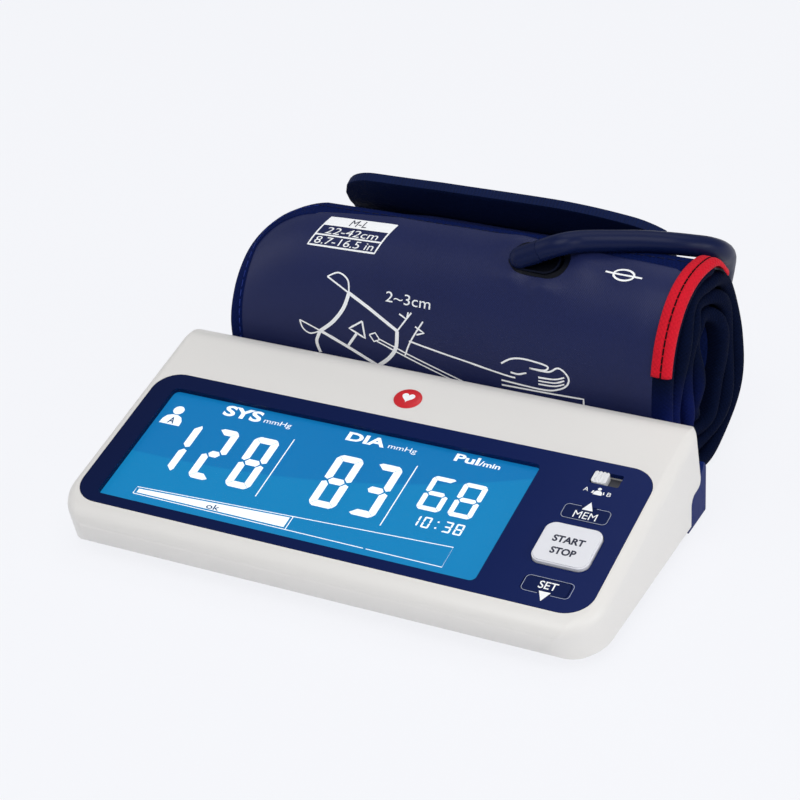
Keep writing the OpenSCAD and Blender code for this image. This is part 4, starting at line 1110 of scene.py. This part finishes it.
def wound_sheet(name, rows, columns, top, bottom, material, inside=None):
    """A closed sheet on the roll. rows are s values, columns(s) the x values; top and bottom give
    the depth of each face at (s, x). inside(s, x, s1, x1) true leaves that cell out, for a hole."""
    grid = [columns(s) for s in rows]
    m, n = len(rows), len(grid[0])
    vertices, places = [], []
    for face in (top, bottom):
        for s, xs in zip(rows, grid):
            for x in xs:
                vertices.append(on_roll(s, x, face(s, x)))
                places.append((x * MM, mm_at(s) * MM))
    open_cell = [
        [bool(inside and inside(rows[i], grid[i][j], rows[i + 1], grid[i][j + 1])) for j in range(n - 1)]
        for i in range(m - 1)
    ]
    faces = []
    base = m * n
    for i in range(m - 1):
        for j in range(n - 1):
            if open_cell[i][j]:
                continue
            a, b, c, d = cell(i, j, n)
            faces.append([a, d, c, b])
            faces.append([base + a, base + b, base + c, base + d])
            for di, dj, p, q in ((-1, 0, a, b), (0, 1, b, c), (1, 0, c, d), (0, -1, d, a)):
                ii, jj = i + di, j + dj
                if not (0 <= ii < m - 1 and 0 <= jj < n - 1) or open_cell[ii][jj]:
                    faces.append([p, q, base + q, base + p])
    piece = new_piece(name, vertices, faces, material, "cuff")
    map_cloth(piece, places)
    face_outwards(piece.data)
    return piece


def spaced(a, b, step):
    n = max(1, int(round((b - a) / step)))
    return [a + (b - a) * i / n for i in range(n + 1)]


def corner_in(s):
    """How far the sheet's round corner draws its left edge in at s."""
    run = CORNER_CUT - min(max(s, 0.0) * MM_PER_DEGREE, CORNER_CUT)
    return CORNER_CUT - math.sqrt(max(CORNER_CUT * CORNER_CUT - run * run, 0.0))


def panel_columns(s, count):
    """The panel's x values at s; it goes a little way in under its bindings."""
    under = 0.6
    left = CUFF_LEFT + BINDING_W + corner_in(s) - under
    right = CUFF_RIGHT - TAPE_W + under
    return [left + (right - left) * j / count for j in range(count + 1)]


def in_port(s, x, s1, x1):
    """Whether a cell lies in the oblong hole of the port."""
    mm, mid = mm_at((s + s1) / 2) - mm_at(PORT_S), (x + x1) / 2 - PORT_X
    half = PORT_W / 2 - PORT_L / 2
    return math.hypot(max(abs(mid) - half, 0.0), mm) < PORT_L / 2


# depths in the sheet: nylon, bladder, fleece
NYLON_OUT, NYLON_IN = -0.05, 0.9
BLADDER_OUT, BLADDER_IN = 1.0, 2.5
FLEECE_OUT = 2.65
BLADDER_X = [-55 + 105 * j / 40 for j in range(41)]

outer_panel = wound_sheet(
    "cuff_nylon", spaced(PANEL_FROM, 60, 1.0) + spaced(60, 360, 2.5)[1:] + spaced(360, ROLL_END, 9)[1:],
    lambda s: panel_columns(s, 170), lambda s, x: NYLON_OUT - cloth_relief(s, x), lambda s, x: NYLON_IN,
    NYLON, inside=in_port,
)
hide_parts("cuff_outer_panel")
bladder = wound_sheet(
    "cuff_air_bladder", spaced(30, 440, 5), lambda s: BLADDER_X,
    lambda s, x: BLADDER_OUT, lambda s, x: BLADDER_IN, BLADDER, inside=in_port,
)
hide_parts("cuff_bladder")
fleece = wound_sheet(
    "cuff_fleece", spaced(PANEL_FROM, ROLL_END, 4), lambda s: panel_columns(s, 24),
    lambda s, x: FLEECE_OUT, lambda s, x: CUFF_T + 0.12 * math.sin(x / 5) * math.sin(mm_at(s) / 6),
    FLEECE,
)
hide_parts("cuff_inner_panel")


def edge_path():
    """The sheet's bound edge: along the outer end, round the corner and down the left edge.
    Each point is (x, s, inward x, inward mm)."""
    path = [(x, 0.0, 0.0, 1.0) for x in spaced(CUFF_RIGHT - TAPE_W + 0.3, CUFF_LEFT + CORNER_CUT, 3.0)]
    for i in range(1, 16):
        a = math.radians(90 * i / 15)
        x = CUFF_LEFT + CORNER_CUT - CORNER_CUT * math.sin(a)
        s = (CORNER_CUT - CORNER_CUT * math.cos(a)) / MM_PER_DEGREE
        path.append((x, s, math.sin(a), math.cos(a)))
    for s in spaced(CORNER_CUT / MM_PER_DEGREE, ROLL_END, 4)[1:]:
        path.append((CUFF_LEFT, s, 1.0, 0.0))
    return path


def right_path(s0, s1, step):
    """The sheet's right edge from s0 to s1, as points of the same kind."""
    return [(CUFF_RIGHT, s, -1.0, 0.0) for s in spaced(s0, s1, step)]


# the band on the sheet's outer end is this much wider than the one on its side
END_WIDER = 0.8


def folded_profile(width, t0, t1, rounding):
    """Cross-section of a tape folded over the sheet's edge: (inwards, depth) pairs."""
    mid, half = (t0 + t1) / 2, (t1 - t0) / 2
    points = [(width, t0 + 0.12), (width - 0.5, t0), (rounding + 0.6, t0)]
    for i in range(7):
        a = math.radians(-90 + 30 * i)
        points.append((rounding - rounding * math.cos(a), mid + half * math.sin(a)))
    points += [(rounding + 0.6, t1), (width - 0.5, t1), (width, t1 - 0.12)]
    return points


def bound_edge(name, path, profile, material, relief, sink=None):
    """A tape along a path of the sheet's edge. relief is the height of its weave's waves, and
    sink(s) lets it down below its place."""
    vertices, places = [], []
    run = 0.0
    last = None
    for x, s, ix, im in path:
        here = on_roll(s, x, 0)
        run += (here - last).length if last else 0.0
        last = here
        girth = 0.0
        deep = sink(s) if sink else 0.0
        for k, (inwards, depth) in enumerate(profile):
            if k:
                girth += math.hypot(inwards - profile[k - 1][0], depth - profile[k - 1][1])
            wave = relief * math.sin(run * 1000 / 2.1) if depth < 0.2 else 0.0
            reach = inwards * (1 + END_WIDER * im)
            vertices.append(on_roll(s + im * reach / MM_PER_DEGREE, x + ix * reach, depth - wave + deep))
            places.append((girth * MM, run))
    piece = new_piece(name, vertices, ring_faces(len(path), len(profile)), material, "cuff")
    map_cloth(piece, places)
    face_outwards(piece.data)
    return piece


BOUND = edge_path()
BAND_OUT, BAND_IN = -0.35, CUFF_T + 0.1
SIDE_PROFILE = folded_profile(BINDING_W, BAND_OUT, BAND_IN, 1.6)
binding = bound_edge("cuff_binding", BOUND, SIDE_PROFILE, BINDING, 0.04)
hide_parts("left_binding", "end_binding")
RIGHT_PROFILE = folded_profile(TAPE_W, 0.1, BAND_IN, 1.8)
right_edge = bound_edge(
    "cuff_right_binding", right_path(0.0, ROLL_END, 4), RIGHT_PROFILE, EDGE_DARK, 0.03,
)
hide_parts("right_binding")


def tape_sink(s):
    """The tape's free end past the sheet's end lies down on the wrap under it."""
    return 2.2 * ease(-s / 27)


# the red tape's section, (inwards, depth), with a sunken seam along it
TAPE_PROFILE = [
    (5.5, 0.15), (5.4, -0.4), (4.9, -0.6), (3.4, -0.68), (2.9, -0.6), (2.65, -0.22), (2.35, -0.22),
    (2.1, -0.6), (1.6, -0.64), (1.1, -0.52), (0.6, -0.3), (0.2, 0.1), (-0.05, 0.6), (-0.15, 1.1), (-0.1, 1.5),
    (0.15, 1.5), (0.25, 1.0), (0.45, 0.6), (0.9, 0.25), (2.4, 0.05), (5.4, 0.05),
]
red_tape = bound_edge(
    "red_edge_tape", right_path(-27.0, 86.0, 1.5), TAPE_PROFILE, RED, 0.03, sink=tape_sink,
)
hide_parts("red_tape")


# ---------------------------------------------------------------- stitches by Geometry Nodes
def stitch_tree(name, spacing, length, radius, material):
    """Lays small thread pieces along a line of edges."""
    tree = bpy.data.node_groups.new(name, "GeometryNodeTree")
    tree.interface.new_socket("Geometry", in_out="INPUT", socket_type="NodeSocketGeometry")
    for label, value in (("Spacing", spacing), ("Stitch Length", length), ("Thread Radius", radius)):
        socket = tree.interface.new_socket(label, in_out="INPUT", socket_type="NodeSocketFloat")
        socket.default_value = value
    tree.interface.new_socket("Geometry", in_out="OUTPUT", socket_type="NodeSocketGeometry")
    given, out = tree.nodes.new("NodeGroupInput"), tree.nodes.new("NodeGroupOutput")
    curve = add(tree, "GeometryNodeMeshToCurve", {"Mesh": given.outputs["Geometry"]})
    spots = tree.nodes.new("GeometryNodeCurveToPoints")
    spots.mode = "LENGTH"
    feed(tree, spots, Curve=curve.outputs["Curve"], Length=given.outputs["Spacing"])
    thread = tree.nodes.new("GeometryNodeMeshCylinder")
    thread.inputs["Vertices"].default_value = 6
    feed(tree, thread, Radius=given.outputs["Thread Radius"], Depth=given.outputs["Stitch Length"])
    lay = tree.nodes.new("GeometryNodeInstanceOnPoints")
    feed(
        tree, lay,
        Points=spots.outputs["Points"], Instance=thread.outputs["Mesh"], Rotation=spots.outputs["Rotation"],
    )
    real = add(tree, "GeometryNodeRealizeInstances", {"Geometry": lay.outputs["Instances"]})
    paint = add(tree, "GeometryNodeSetMaterial", {"Geometry": real.outputs["Geometry"]})
    paint.inputs["Material"].default_value = material
    feed(tree, out, Geometry=paint.outputs["Geometry"])
    return tree


def stitched(name, points, material, spacing, length, radius):
    """A row of stitches along points, turned into a plain mesh on the cuff."""
    mesh = bpy.data.meshes.new(name)
    mesh.from_pydata([tuple(p) for p in points], [(i, i + 1) for i in range(len(points) - 1)], [])
    helper = linked(name + "_line", mesh)
    modifier = helper.modifiers.new("stitches", "NODES")
    modifier.node_group = stitch_tree(name + "_stitches", spacing * MM, length * MM, radius * MM, material)
    made = evaluated_mesh(helper)
    made.name = name
    bpy.data.objects.remove(helper)
    piece = linked(name, made)
    for face in made.polygons:
        face.use_smooth = True
    map_cloth(piece, [(v.co.x, v.co.y + v.co.z) for v in made.vertices])
    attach(piece, "cuff")


def band_stitch(x, s, ix, im):
    """A place of the binding's seam, from a point of its path."""
    seam_in, seam_depth = 4.2, -0.42
    return on_roll(s + im * seam_in / MM_PER_DEGREE, x + ix * seam_in, seam_depth)


END_SEAM = [band_stitch(*p) for p in BOUND if p[3] == 1.0]
SIDE_SEAM = [band_stitch(*p) for p in BOUND if p[3] < 1.0 and p[1] < RELIEF_END]
TAPE_SEAM = [on_roll(s, CUFF_RIGHT - 2.5, tape_sink(s) - 0.36) for s in spaced(-26, 85, 1.0)]
stitched("end_stitches", END_SEAM, THREAD_NAVY, spacing=3.0, length=2.2, radius=0.16)
stitched("binding_stitches", SIDE_SEAM, THREAD_BLUE, spacing=3.0, length=2.2, radius=0.16)
stitched("tape_stitches", TAPE_SEAM, THREAD_DARK, spacing=2.3, length=1.9, radius=0.24)


# ---------------------------------------------------------------- free tail of the cuff
TAIL_LEFT, TAIL_RIGHT = -50.0, 56.0
TAIL_ANGLES = [-26 + 6 * i for i in range(13)]
TAIL_TOP = [(94.6, 66.4), (92.4, 70.6), (90.6, 73.8)]
TAIL_ROWS = 40
TAIL_CORNER = 12.0


def tail_line(out):
    """Side view of the tail's inner (0) to outer (1) face, from the bottom up."""
    line = [roll_side(a - ROLL_START + FULL_TURN, -TAIL_GAP - TAIL_T * out) for a in TAIL_ANGLES]
    return line + [(y - 0.86 * TAIL_T * (1 - out), z - 0.5 * TAIL_T * (1 - out)) for y, z in TAIL_TOP]


def curve_points(points, substeps):
    """Points of a smooth curve through the given ones."""
    made = []
    for i in range(len(points) - 1):
        a, b, c, d = points[max(i - 1, 0)], points[i], points[i + 1], points[min(i + 2, len(points) - 1)]
        for k in range(substeps):
            t = k / substeps
            made.append(0.5 * (
                2 * b + (c - a) * t + (2 * a - 5 * b + 4 * c - d) * t * t + (3 * b - a - 3 * c + d) * t ** 3
            ))
    return made + [points[-1]]


def smooth_line(points, count):
    """Evenly spaced points of a smooth curve through the given ones."""
    dense = np.array(curve_points(np.array(points, float), 12))
    run = np.concatenate([[0], np.cumsum(np.linalg.norm(np.diff(dense, axis=0), axis=1))])
    even = np.linspace(0, run[-1], count)
    return np.array([np.interp(even, run, column) for column in dense.T]).T


def tail_slack(x, height):
    """How many rows the tail falls short at x: round at its left corner, drooping to the right."""
    edge = min(x - TAIL_LEFT, TAIL_CORNER) / TAIL_CORNER
    drop = TAIL_CORNER * (1 - math.sqrt(max(0.0, 1 - (1 - edge) ** 2)))
    right, right_end, left = (x - 20) / 36, (x - 46) / 10, (-15 - x) / 35
    fall = max(0.0, right) ** 2 * 6.0 + max(0.0, right_end) ** 2 * 3.0 + max(0.0, left) * 2.2
    return (drop + fall) * height ** 6 * 0.45


def cuff_flap():
    last = TAIL_ROWS - 1
    columns = spaced(TAIL_LEFT, TAIL_RIGHT, 1.6)
    vertices, places, faces = [], [], []
    n = len(columns)
    for out in (1, 0):
        line = smooth_line(tail_line(out), TAIL_ROWS)
        for i in range(TAIL_ROWS):
            height = i / last
            for x in columns:
                row = max(0.0, i - tail_slack(x, height))
                low = int(row)
                y, z = line[low] + (line[min(low + 1, last)] - line[low]) * (row - low)
                wave = 0.35 * math.sin(x / 13) * height ** 2
                vertices.append(at(x, y + wave, z))
                places.append((x * MM, i * 2 * MM))
    base = TAIL_ROWS * n
    for i in range(last):
        for j in range(n - 1):
            a, b, c, d = cell(i, j, n)
            faces += [[a, b, c, d], [base + a, base + d, base + c, base + b]]
    rim = [(i * n, (i + 1) * n) for i in range(last)]
    rim += [(last * n + j, last * n + j + 1) for j in range(n - 1)]
    rim += [((i + 1) * n + n - 1, i * n + n - 1) for i in reversed(range(last))]
    rim += [(j + 1, j) for j in reversed(range(n - 1))]
    faces += [[p, q, base + q, base + p] for p, q in rim]
    piece = new_piece("cuff_flap", vertices, faces, FLAP, "cuff")
    map_cloth(piece, places)
    face_outwards(piece.data)
    soft = piece.modifiers.new("soft_edge", "BEVEL")
    soft.width = 1.2 * MM
    soft.segments = 3
    soft.limit_method = "ANGLE"
    soft.angle_limit = math.radians(50)
    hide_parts("cuff_tail")
    return piece


flap = cuff_flap()


# ---------------------------------------------------------------- print on the cuff
def ink(x, mm, lift=0.07):
    """A point of the cuff's print, mm from the sheet's outer end."""
    s = s_at(mm)
    return on_roll(s, x, NYLON_OUT - lift - cloth_relief(s, x))


def print_place(x, y):
    """Print is laid out with y upwards, so y is minus the distance from the outer end."""
    return ink(x, -y)


def stroke(points, width, curved=False):
    """A line of the print, through the points."""
    if curved:
        points = [tuple(p) for p in smooth_line(points, max(12, 8 * len(points)))]
    dense = []
    for a, b in zip(points, points[1:]):
        dense += stepped(a, b, math.dist(a, b), 1.0)
    return outline_band(dense + [points[-1]], width, print_place, closed=False)


def size_place(u, v):
    """A point of the slanted size block: u and v run from 0 to 1 over its width and height."""
    return -48.8 + 23.0 * u + 3.1 * v, -20.9 - 1.35 * u + 10.3 * v


def size_point(u, v):
    return print_place(*size_place(u, v))


def size_word(u, v):
    """A point of the dark word on the block's white row."""
    x, y = size_place(u, v)
    return ink(x, -y, 0.12)


def size_slab(v0, v1):
    """A filled row of the size block, as small cells."""
    across, up = spaced(0.0, 1.0, 0.08), spaced(v0, v1, 0.1)
    n = len(across)
    faces = [cell(i, j, n) for i in range(len(up) - 1) for j in range(n - 1)]
    return [size_point(u, v) for v in up for u in across], faces


# strokes of the fitting diagram: width, whether it is a curve, points
FITTING_DIAGRAM = (
    # the band round an upper arm, with its two straps
    (1.2, True, [(-31.5, -35), (-33, -40), (-36.5, -45), (-41, -49)]),
    (1.2, True, [(-14.5, -44.5), (-15, -50), (-17.5, -54), (-21.5, -57.5)]),
    (1.05, False, [(-31.5, -35), (-14.5, -44.5)]),
    (1.05, False, [(-41, -49), (-21.5, -57.5)]),
    (0.5, True, [(-31.5, -35), (-32.5, -31), (-36, -29), (-39.5, -30.5)]),
    (0.5, False, [(-31.5, -35), (-39.5, -30.5)]),
    (0.5, True, [(-41, -49), (-44.5, -50.5), (-47, -49), (-48, -46)]),
    (0.5, False, [(-41, -49), (-48, -46)]),
    (1.05, True, [(-41, -49), (-42.5, -53), (-41.5, -57)]),
    # where it goes: an arrow, and two marks for the gap to the elbow
    (0.6, False, [(-26.5, -43.5), (-31, -46.5), (-25.5, -49), (-26.5, -43.5)]),
    (0.85, False, [(-28.5, -48), (-31.5, -52.5)]),
    (0.5, False, [(-14.5, -44.5), (-10, -38)]),
    (0.5, True, [(-12, -52), (-10, -47), (-6, -40)]),
    (0.5, False, [(-14, -39), (-11.5, -40.2), (-11, -38)]),
    (0.5, False, [(-8.5, -42), (-5.5, -43.5), (-8, -44.5)]),
    # the arm that lies in it, with its open hand
    (0.55, True, [(-10.5, -47), (4, -49.5), (20, -52), (24, -52.3)]),
    (0.55, True, [(-21.5, -57.5), (-12, -59.5), (8, -59.6), (22, -59), (40, -59)]),
    (0.55, True, [(19.5, -48.5), (22.5, -46.5), (26, -45.7), (31, -45.9), (34.4, -46.6), (33.2, -48),
        (28.5, -48.2)]),
    (0.55, True, [(28.5, -48.2), (34.5, -48.2), (37.4, -46.4), (39.6, -47.2), (41, -49.2),
        (40.4, -51.4), (38, -53.2), (33, -54.4), (19.5, -54)]),
    (0.5, True, [(22.5, -50.8), (25, -50.9), (27.6, -50)]),
    (0.55, False, [(19.5, -55.6), (45.5, -55), (45.5, -60)]),
    # the air hose that leaves the band along the arm
    (0.45, False, [(-24, -47.5), (-22.5, -49.5), (-20.5, -48.5), (-22, -46.5), (-24, -47.5)]),
    (0.45, False, [(-21, -48.2), (8, -57.6)]),
    (0.45, False, [(-21.5, -49.2), (5, -58)]),
)
INDEX_MARK = (51, -14.9)


def cuff_print():
    white = [size_slab(0.67, 1.0)]
    white.append(stroke([size_place(u, v) for u, v in ((0, 1), (0, 0), (1, 0), (1, 1))], 0.55))
    white.append(stroke([size_place(0, 0.34), size_place(1, 0.34)], 0.5))
    white.append(fit_text("22-42cm", 0.12, 0.9, 0.39, 0.61, size_point))
    white.append(fit_text("8.7-16.5 in", 0.06, 0.94, 0.06, 0.28, size_point))
    white.append(fit_text("2~3cm", -19, -4, -36, -32.8, print_place))
    # the round index mark with its line
    u, v = INDEX_MARK
    white.append(outline_band(circle(u, v, 3.1, 1.8, 29), 0.6, print_place))
    white.append(stroke([(u - 5.6, v), (u + 5.6, v)], 0.55))
    white += [stroke(points, width, curved) for width, curved, points in FITTING_DIAGRAM]
    for k in range(3):
        finger = [(31.4, -50.6), (36.4, -50.3), (39.6, -49)]
        white.append(stroke([(x, y - 1.1 * k) for x, y in finger], 0.5, True))
    joined("cuff_print", white, INK_WHITE, "cuff")


def slot_rim():
    """A dark band round the edge of the slot that the hose comes out of."""
    half, r = PORT_W / 2 - PORT_L / 2, PORT_L / 2 + 0.15
    middle = -mm_at(PORT_S)
    ring = round_box(PORT_X - half - r, PORT_X + half + r, middle - r, middle + r, r - 0.01, 10)
    joined("slot_rim", [outline_band(ring, 1.7, print_place)], PORT_DARK, "cuff")


cuff_print()
slot_rim()
size_letters = fit_text("M-L", 0.36, 0.62, 0.73, 0.95, size_word)
joined("cuff_print_dark", [size_letters], INK_NAVY, "cuff")


# ---------------------------------------------------------------- hose with its coil, and the port
HOSE_D = 6.5
COIL_C, COIL_R, COIL_Z, COIL_RISE = (-40.0, 145.5), 34.0, 4.2, 7.1
# the coil turns through this many degrees, a ring of points each step
COIL_TURN, COIL_STEP = 540, 5
ELBOW_FROM = Vector((-4.0, -1.0, 0.9))
ELBOW_WAY = Vector((0.87, 0.36, 0.25)).normalized()
ELBOW_L = 6.5


def port_out(p):
    """A point given in the slot's own axes, in the housing's millimetres."""
    c, s = math.cos(PORT_TILT), math.sin(PORT_TILT)
    return (PORT_X + p[0], PORT_C[0] + p[1] * c - p[2] * s, PORT_C[1] + p[1] * s + p[2] * c)


HOSE_ROUTE = [
    port_out(ELBOW_FROM + ELBOW_WAY * (ELBOW_L + 0.02)),
    port_out(ELBOW_FROM + ELBOW_WAY * (ELBOW_L + HOSE_D)),
    (38, 72.6, 72.1), (46, 77, 71.8), (54, 80.8, 71.4), (61.4, 83.9, 70.9), (67.4, 87, 70),
    (71.6, 91.2, 68.2), (73.4, 96, 64.8), (73.2, 100.6, 59.8), (71.8, 104, 54.2), (69.4, 106.6, 47.4),
    (66.6, 108.2, 40), (63.6, 109.2, 32.4), (59.4, 110, 25), (54.6, 110.6, 18), (48.4, 111, 12.2),
    (41, 111.3, 8), (33, 111.5, 5.4), (24, 111.5, 4.4), (12, 111.5, 4.2), (0, 111.5, 4.2),
    (-16, 111.5, 4.2), (-32, 111.5, 4.2), (-40, 111.5, 4.2),
]


def settled(x, y, z):
    """A point of the hose's route, sunk with the soft roll where the hose lies on it."""
    on_top, past_slot = ease((z - 55) / 12), ease((x - 29) / 9)
    upper, round_end = ease((z - 35) / 20), ease((x - 58) / 12)
    dent = 0.45 * bump(x, 41, 9)
    return x - 1.8 * upper * round_end, y, z - on_top * past_slot * (sag(x, z) + dent)


def hose_line():
    """The hose's middle line: over the roll, round its right end, through the coil and to the plug."""
    free = curve_points([Vector(settled(*p)) for p in HOSE_ROUTE], 8)
    coil = []
    for a in range(COIL_STEP, COIL_TURN + 1, COIL_STEP):
        r = math.radians(a)
        x, y = COIL_C[0] - COIL_R * math.sin(r), COIL_C[1] - COIL_R * math.cos(r)
        coil.append(Vector((x, y, COIL_Z + COIL_RISE * ease((a - 250) / 100))))
    tail = [(8, -0.2), (18, -1.6), (28, -3.4), (38, -4.6), (46, -4.8)]
    end = [Vector((COIL_C[0] + x, COIL_C[1] + COIL_R, COIL_Z + COIL_RISE + z)) for x, z in tail]
    return [at(*p) for p in free + coil + curve_points([coil[-1]] + end, 4)[1:]]


def tube(name, path, radius, sides, material):
    """A round tube swept along points, with closed ends and its own surface map, and its length."""
    vertices, places = [], []
    normal = Vector((0, 0, 1))
    run = 0.0
    for i, p in enumerate(path):
        way = (path[min(i + 1, len(path) - 1)] - path[max(i - 1, 0)]).normalized()
        normal = (normal - way * normal.dot(way)).normalized()
        side = way.cross(normal)
        run += (p - path[i - 1]).length if i else 0.0
        for k in range(sides):
            a = 2 * math.pi * k / sides
            vertices.append(p + radius * (math.cos(a) * normal + math.sin(a) * side))
            places.append((a * radius, run))
    piece = new_piece(name, vertices, ring_faces(len(path), sides), material, "cuff")
    map_cloth(piece, places)
    return piece, run


HOSE_PATH = hose_line()
hose, hose_length = tube("rubber_hose", HOSE_PATH, HOSE_D / 2 * MM, 20, HOSE)
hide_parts("air_hose", "hose_coil")
finished("hose_port", PORT_DARK, bevel=0.15)


# ---------------------------------------------------------------- floor and light
FLOOR_Z, FLOOR_HALF = -0.0006, 3
PALE = rgb(244, 245, 249)
# name, place, target, power, width and depth
LAMPS = (
    ("key_light", (0.25, -0.55, 0.95), (0, 0, 0.02), 5.2, (0.9, 0.7)),
    ("fill_light", (-0.95, -0.35, 0.55), (0, 0, 0.03), 2.2, (0.8, 0.8)),
    ("top_light", (0.1, 0.45, 1.1), (0, 0.02, 0.03), 2.4, (1.0, 0.6)),
    ("side_light", (1.1, -0.1, 0.4), (0.05, 0, 0.03), 3.6, (0.6, 0.5)),
)


def blended(tree, factor, first, second, output):
    """Feeds the output with two shaders, the second by the factor's share."""
    blend = tree.nodes.new("ShaderNodeMixShader")
    for i, source in enumerate((factor, first.outputs[0], second.outputs[0])):
        tree.links.new(source, blend.inputs[i])
    feed(tree, tree.nodes[output], Surface=blend.outputs[0])


def pale_floor():
    """A floor that the camera and mirrors see nearly as pale as the backdrop."""
    mesh = bpy.data.meshes.new("floor")
    corners = [(x * FLOOR_HALF, y * FLOOR_HALF, FLOOR_Z) for x, y in ((-1, -1), (1, -1), (1, 1), (-1, 1))]
    mesh.from_pydata(corners, [], [[0, 1, 2, 3]])
    ground = linked("floor", mesh)
    material, tree, shader = new_material("pale_floor", Roughness=0.9, Base_Color=PALE)
    ray = add(tree, "ShaderNodeLightPath").outputs
    mirrored = math_node(tree, "MAXIMUM", ray["Is Glossy Ray"], ray["Is Transmission Ray"])
    seen = math_node(tree, "MAXIMUM", ray["Is Camera Ray"], mirrored)
    pale = add(tree, "ShaderNodeEmission", Color=rgb(247, 248, 252), Strength=1.0)
    blended(tree, times(tree, seen, 0.9), shader, pale, "Material Output")
    mesh.materials.append(material)


def backdrop():
    """A soft sky light, with a pale backdrop where the camera looks past the floor."""
    world = bpy.context.scene.world or bpy.data.worlds.new("studio")
    bpy.context.scene.world = world
    world.use_nodes = True
    tree = world.node_tree
    sky = tree.nodes["Background"]
    sky.inputs["Color"].default_value = rgb(240, 244, 252)
    sky.inputs["Strength"].default_value = 0.36
    pale = add(tree, "ShaderNodeBackground", Color=PALE, Strength=1.0)
    camera_ray = add(tree, "ShaderNodeLightPath").outputs["Is Camera Ray"]
    blended(tree, camera_ray, sky, pale, "World Output")


def lamp(name, place, target, power, size):
    data = bpy.data.lights.new(name, "AREA")
    data.energy = power
    data.shape = "RECTANGLE"
    data.size, data.size_y = size
    light = linked(name, data)
    light.location = place
    light.rotation_mode = "QUATERNION"
    light.rotation_quaternion = (Vector(target) - Vector(place)).to_track_quat("-Z", "Y")


pale_floor()
backdrop()
for lamp_facts in LAMPS:
    lamp(*lamp_facts)
bpy.context.scene.view_settings.view_transform = "Standard"
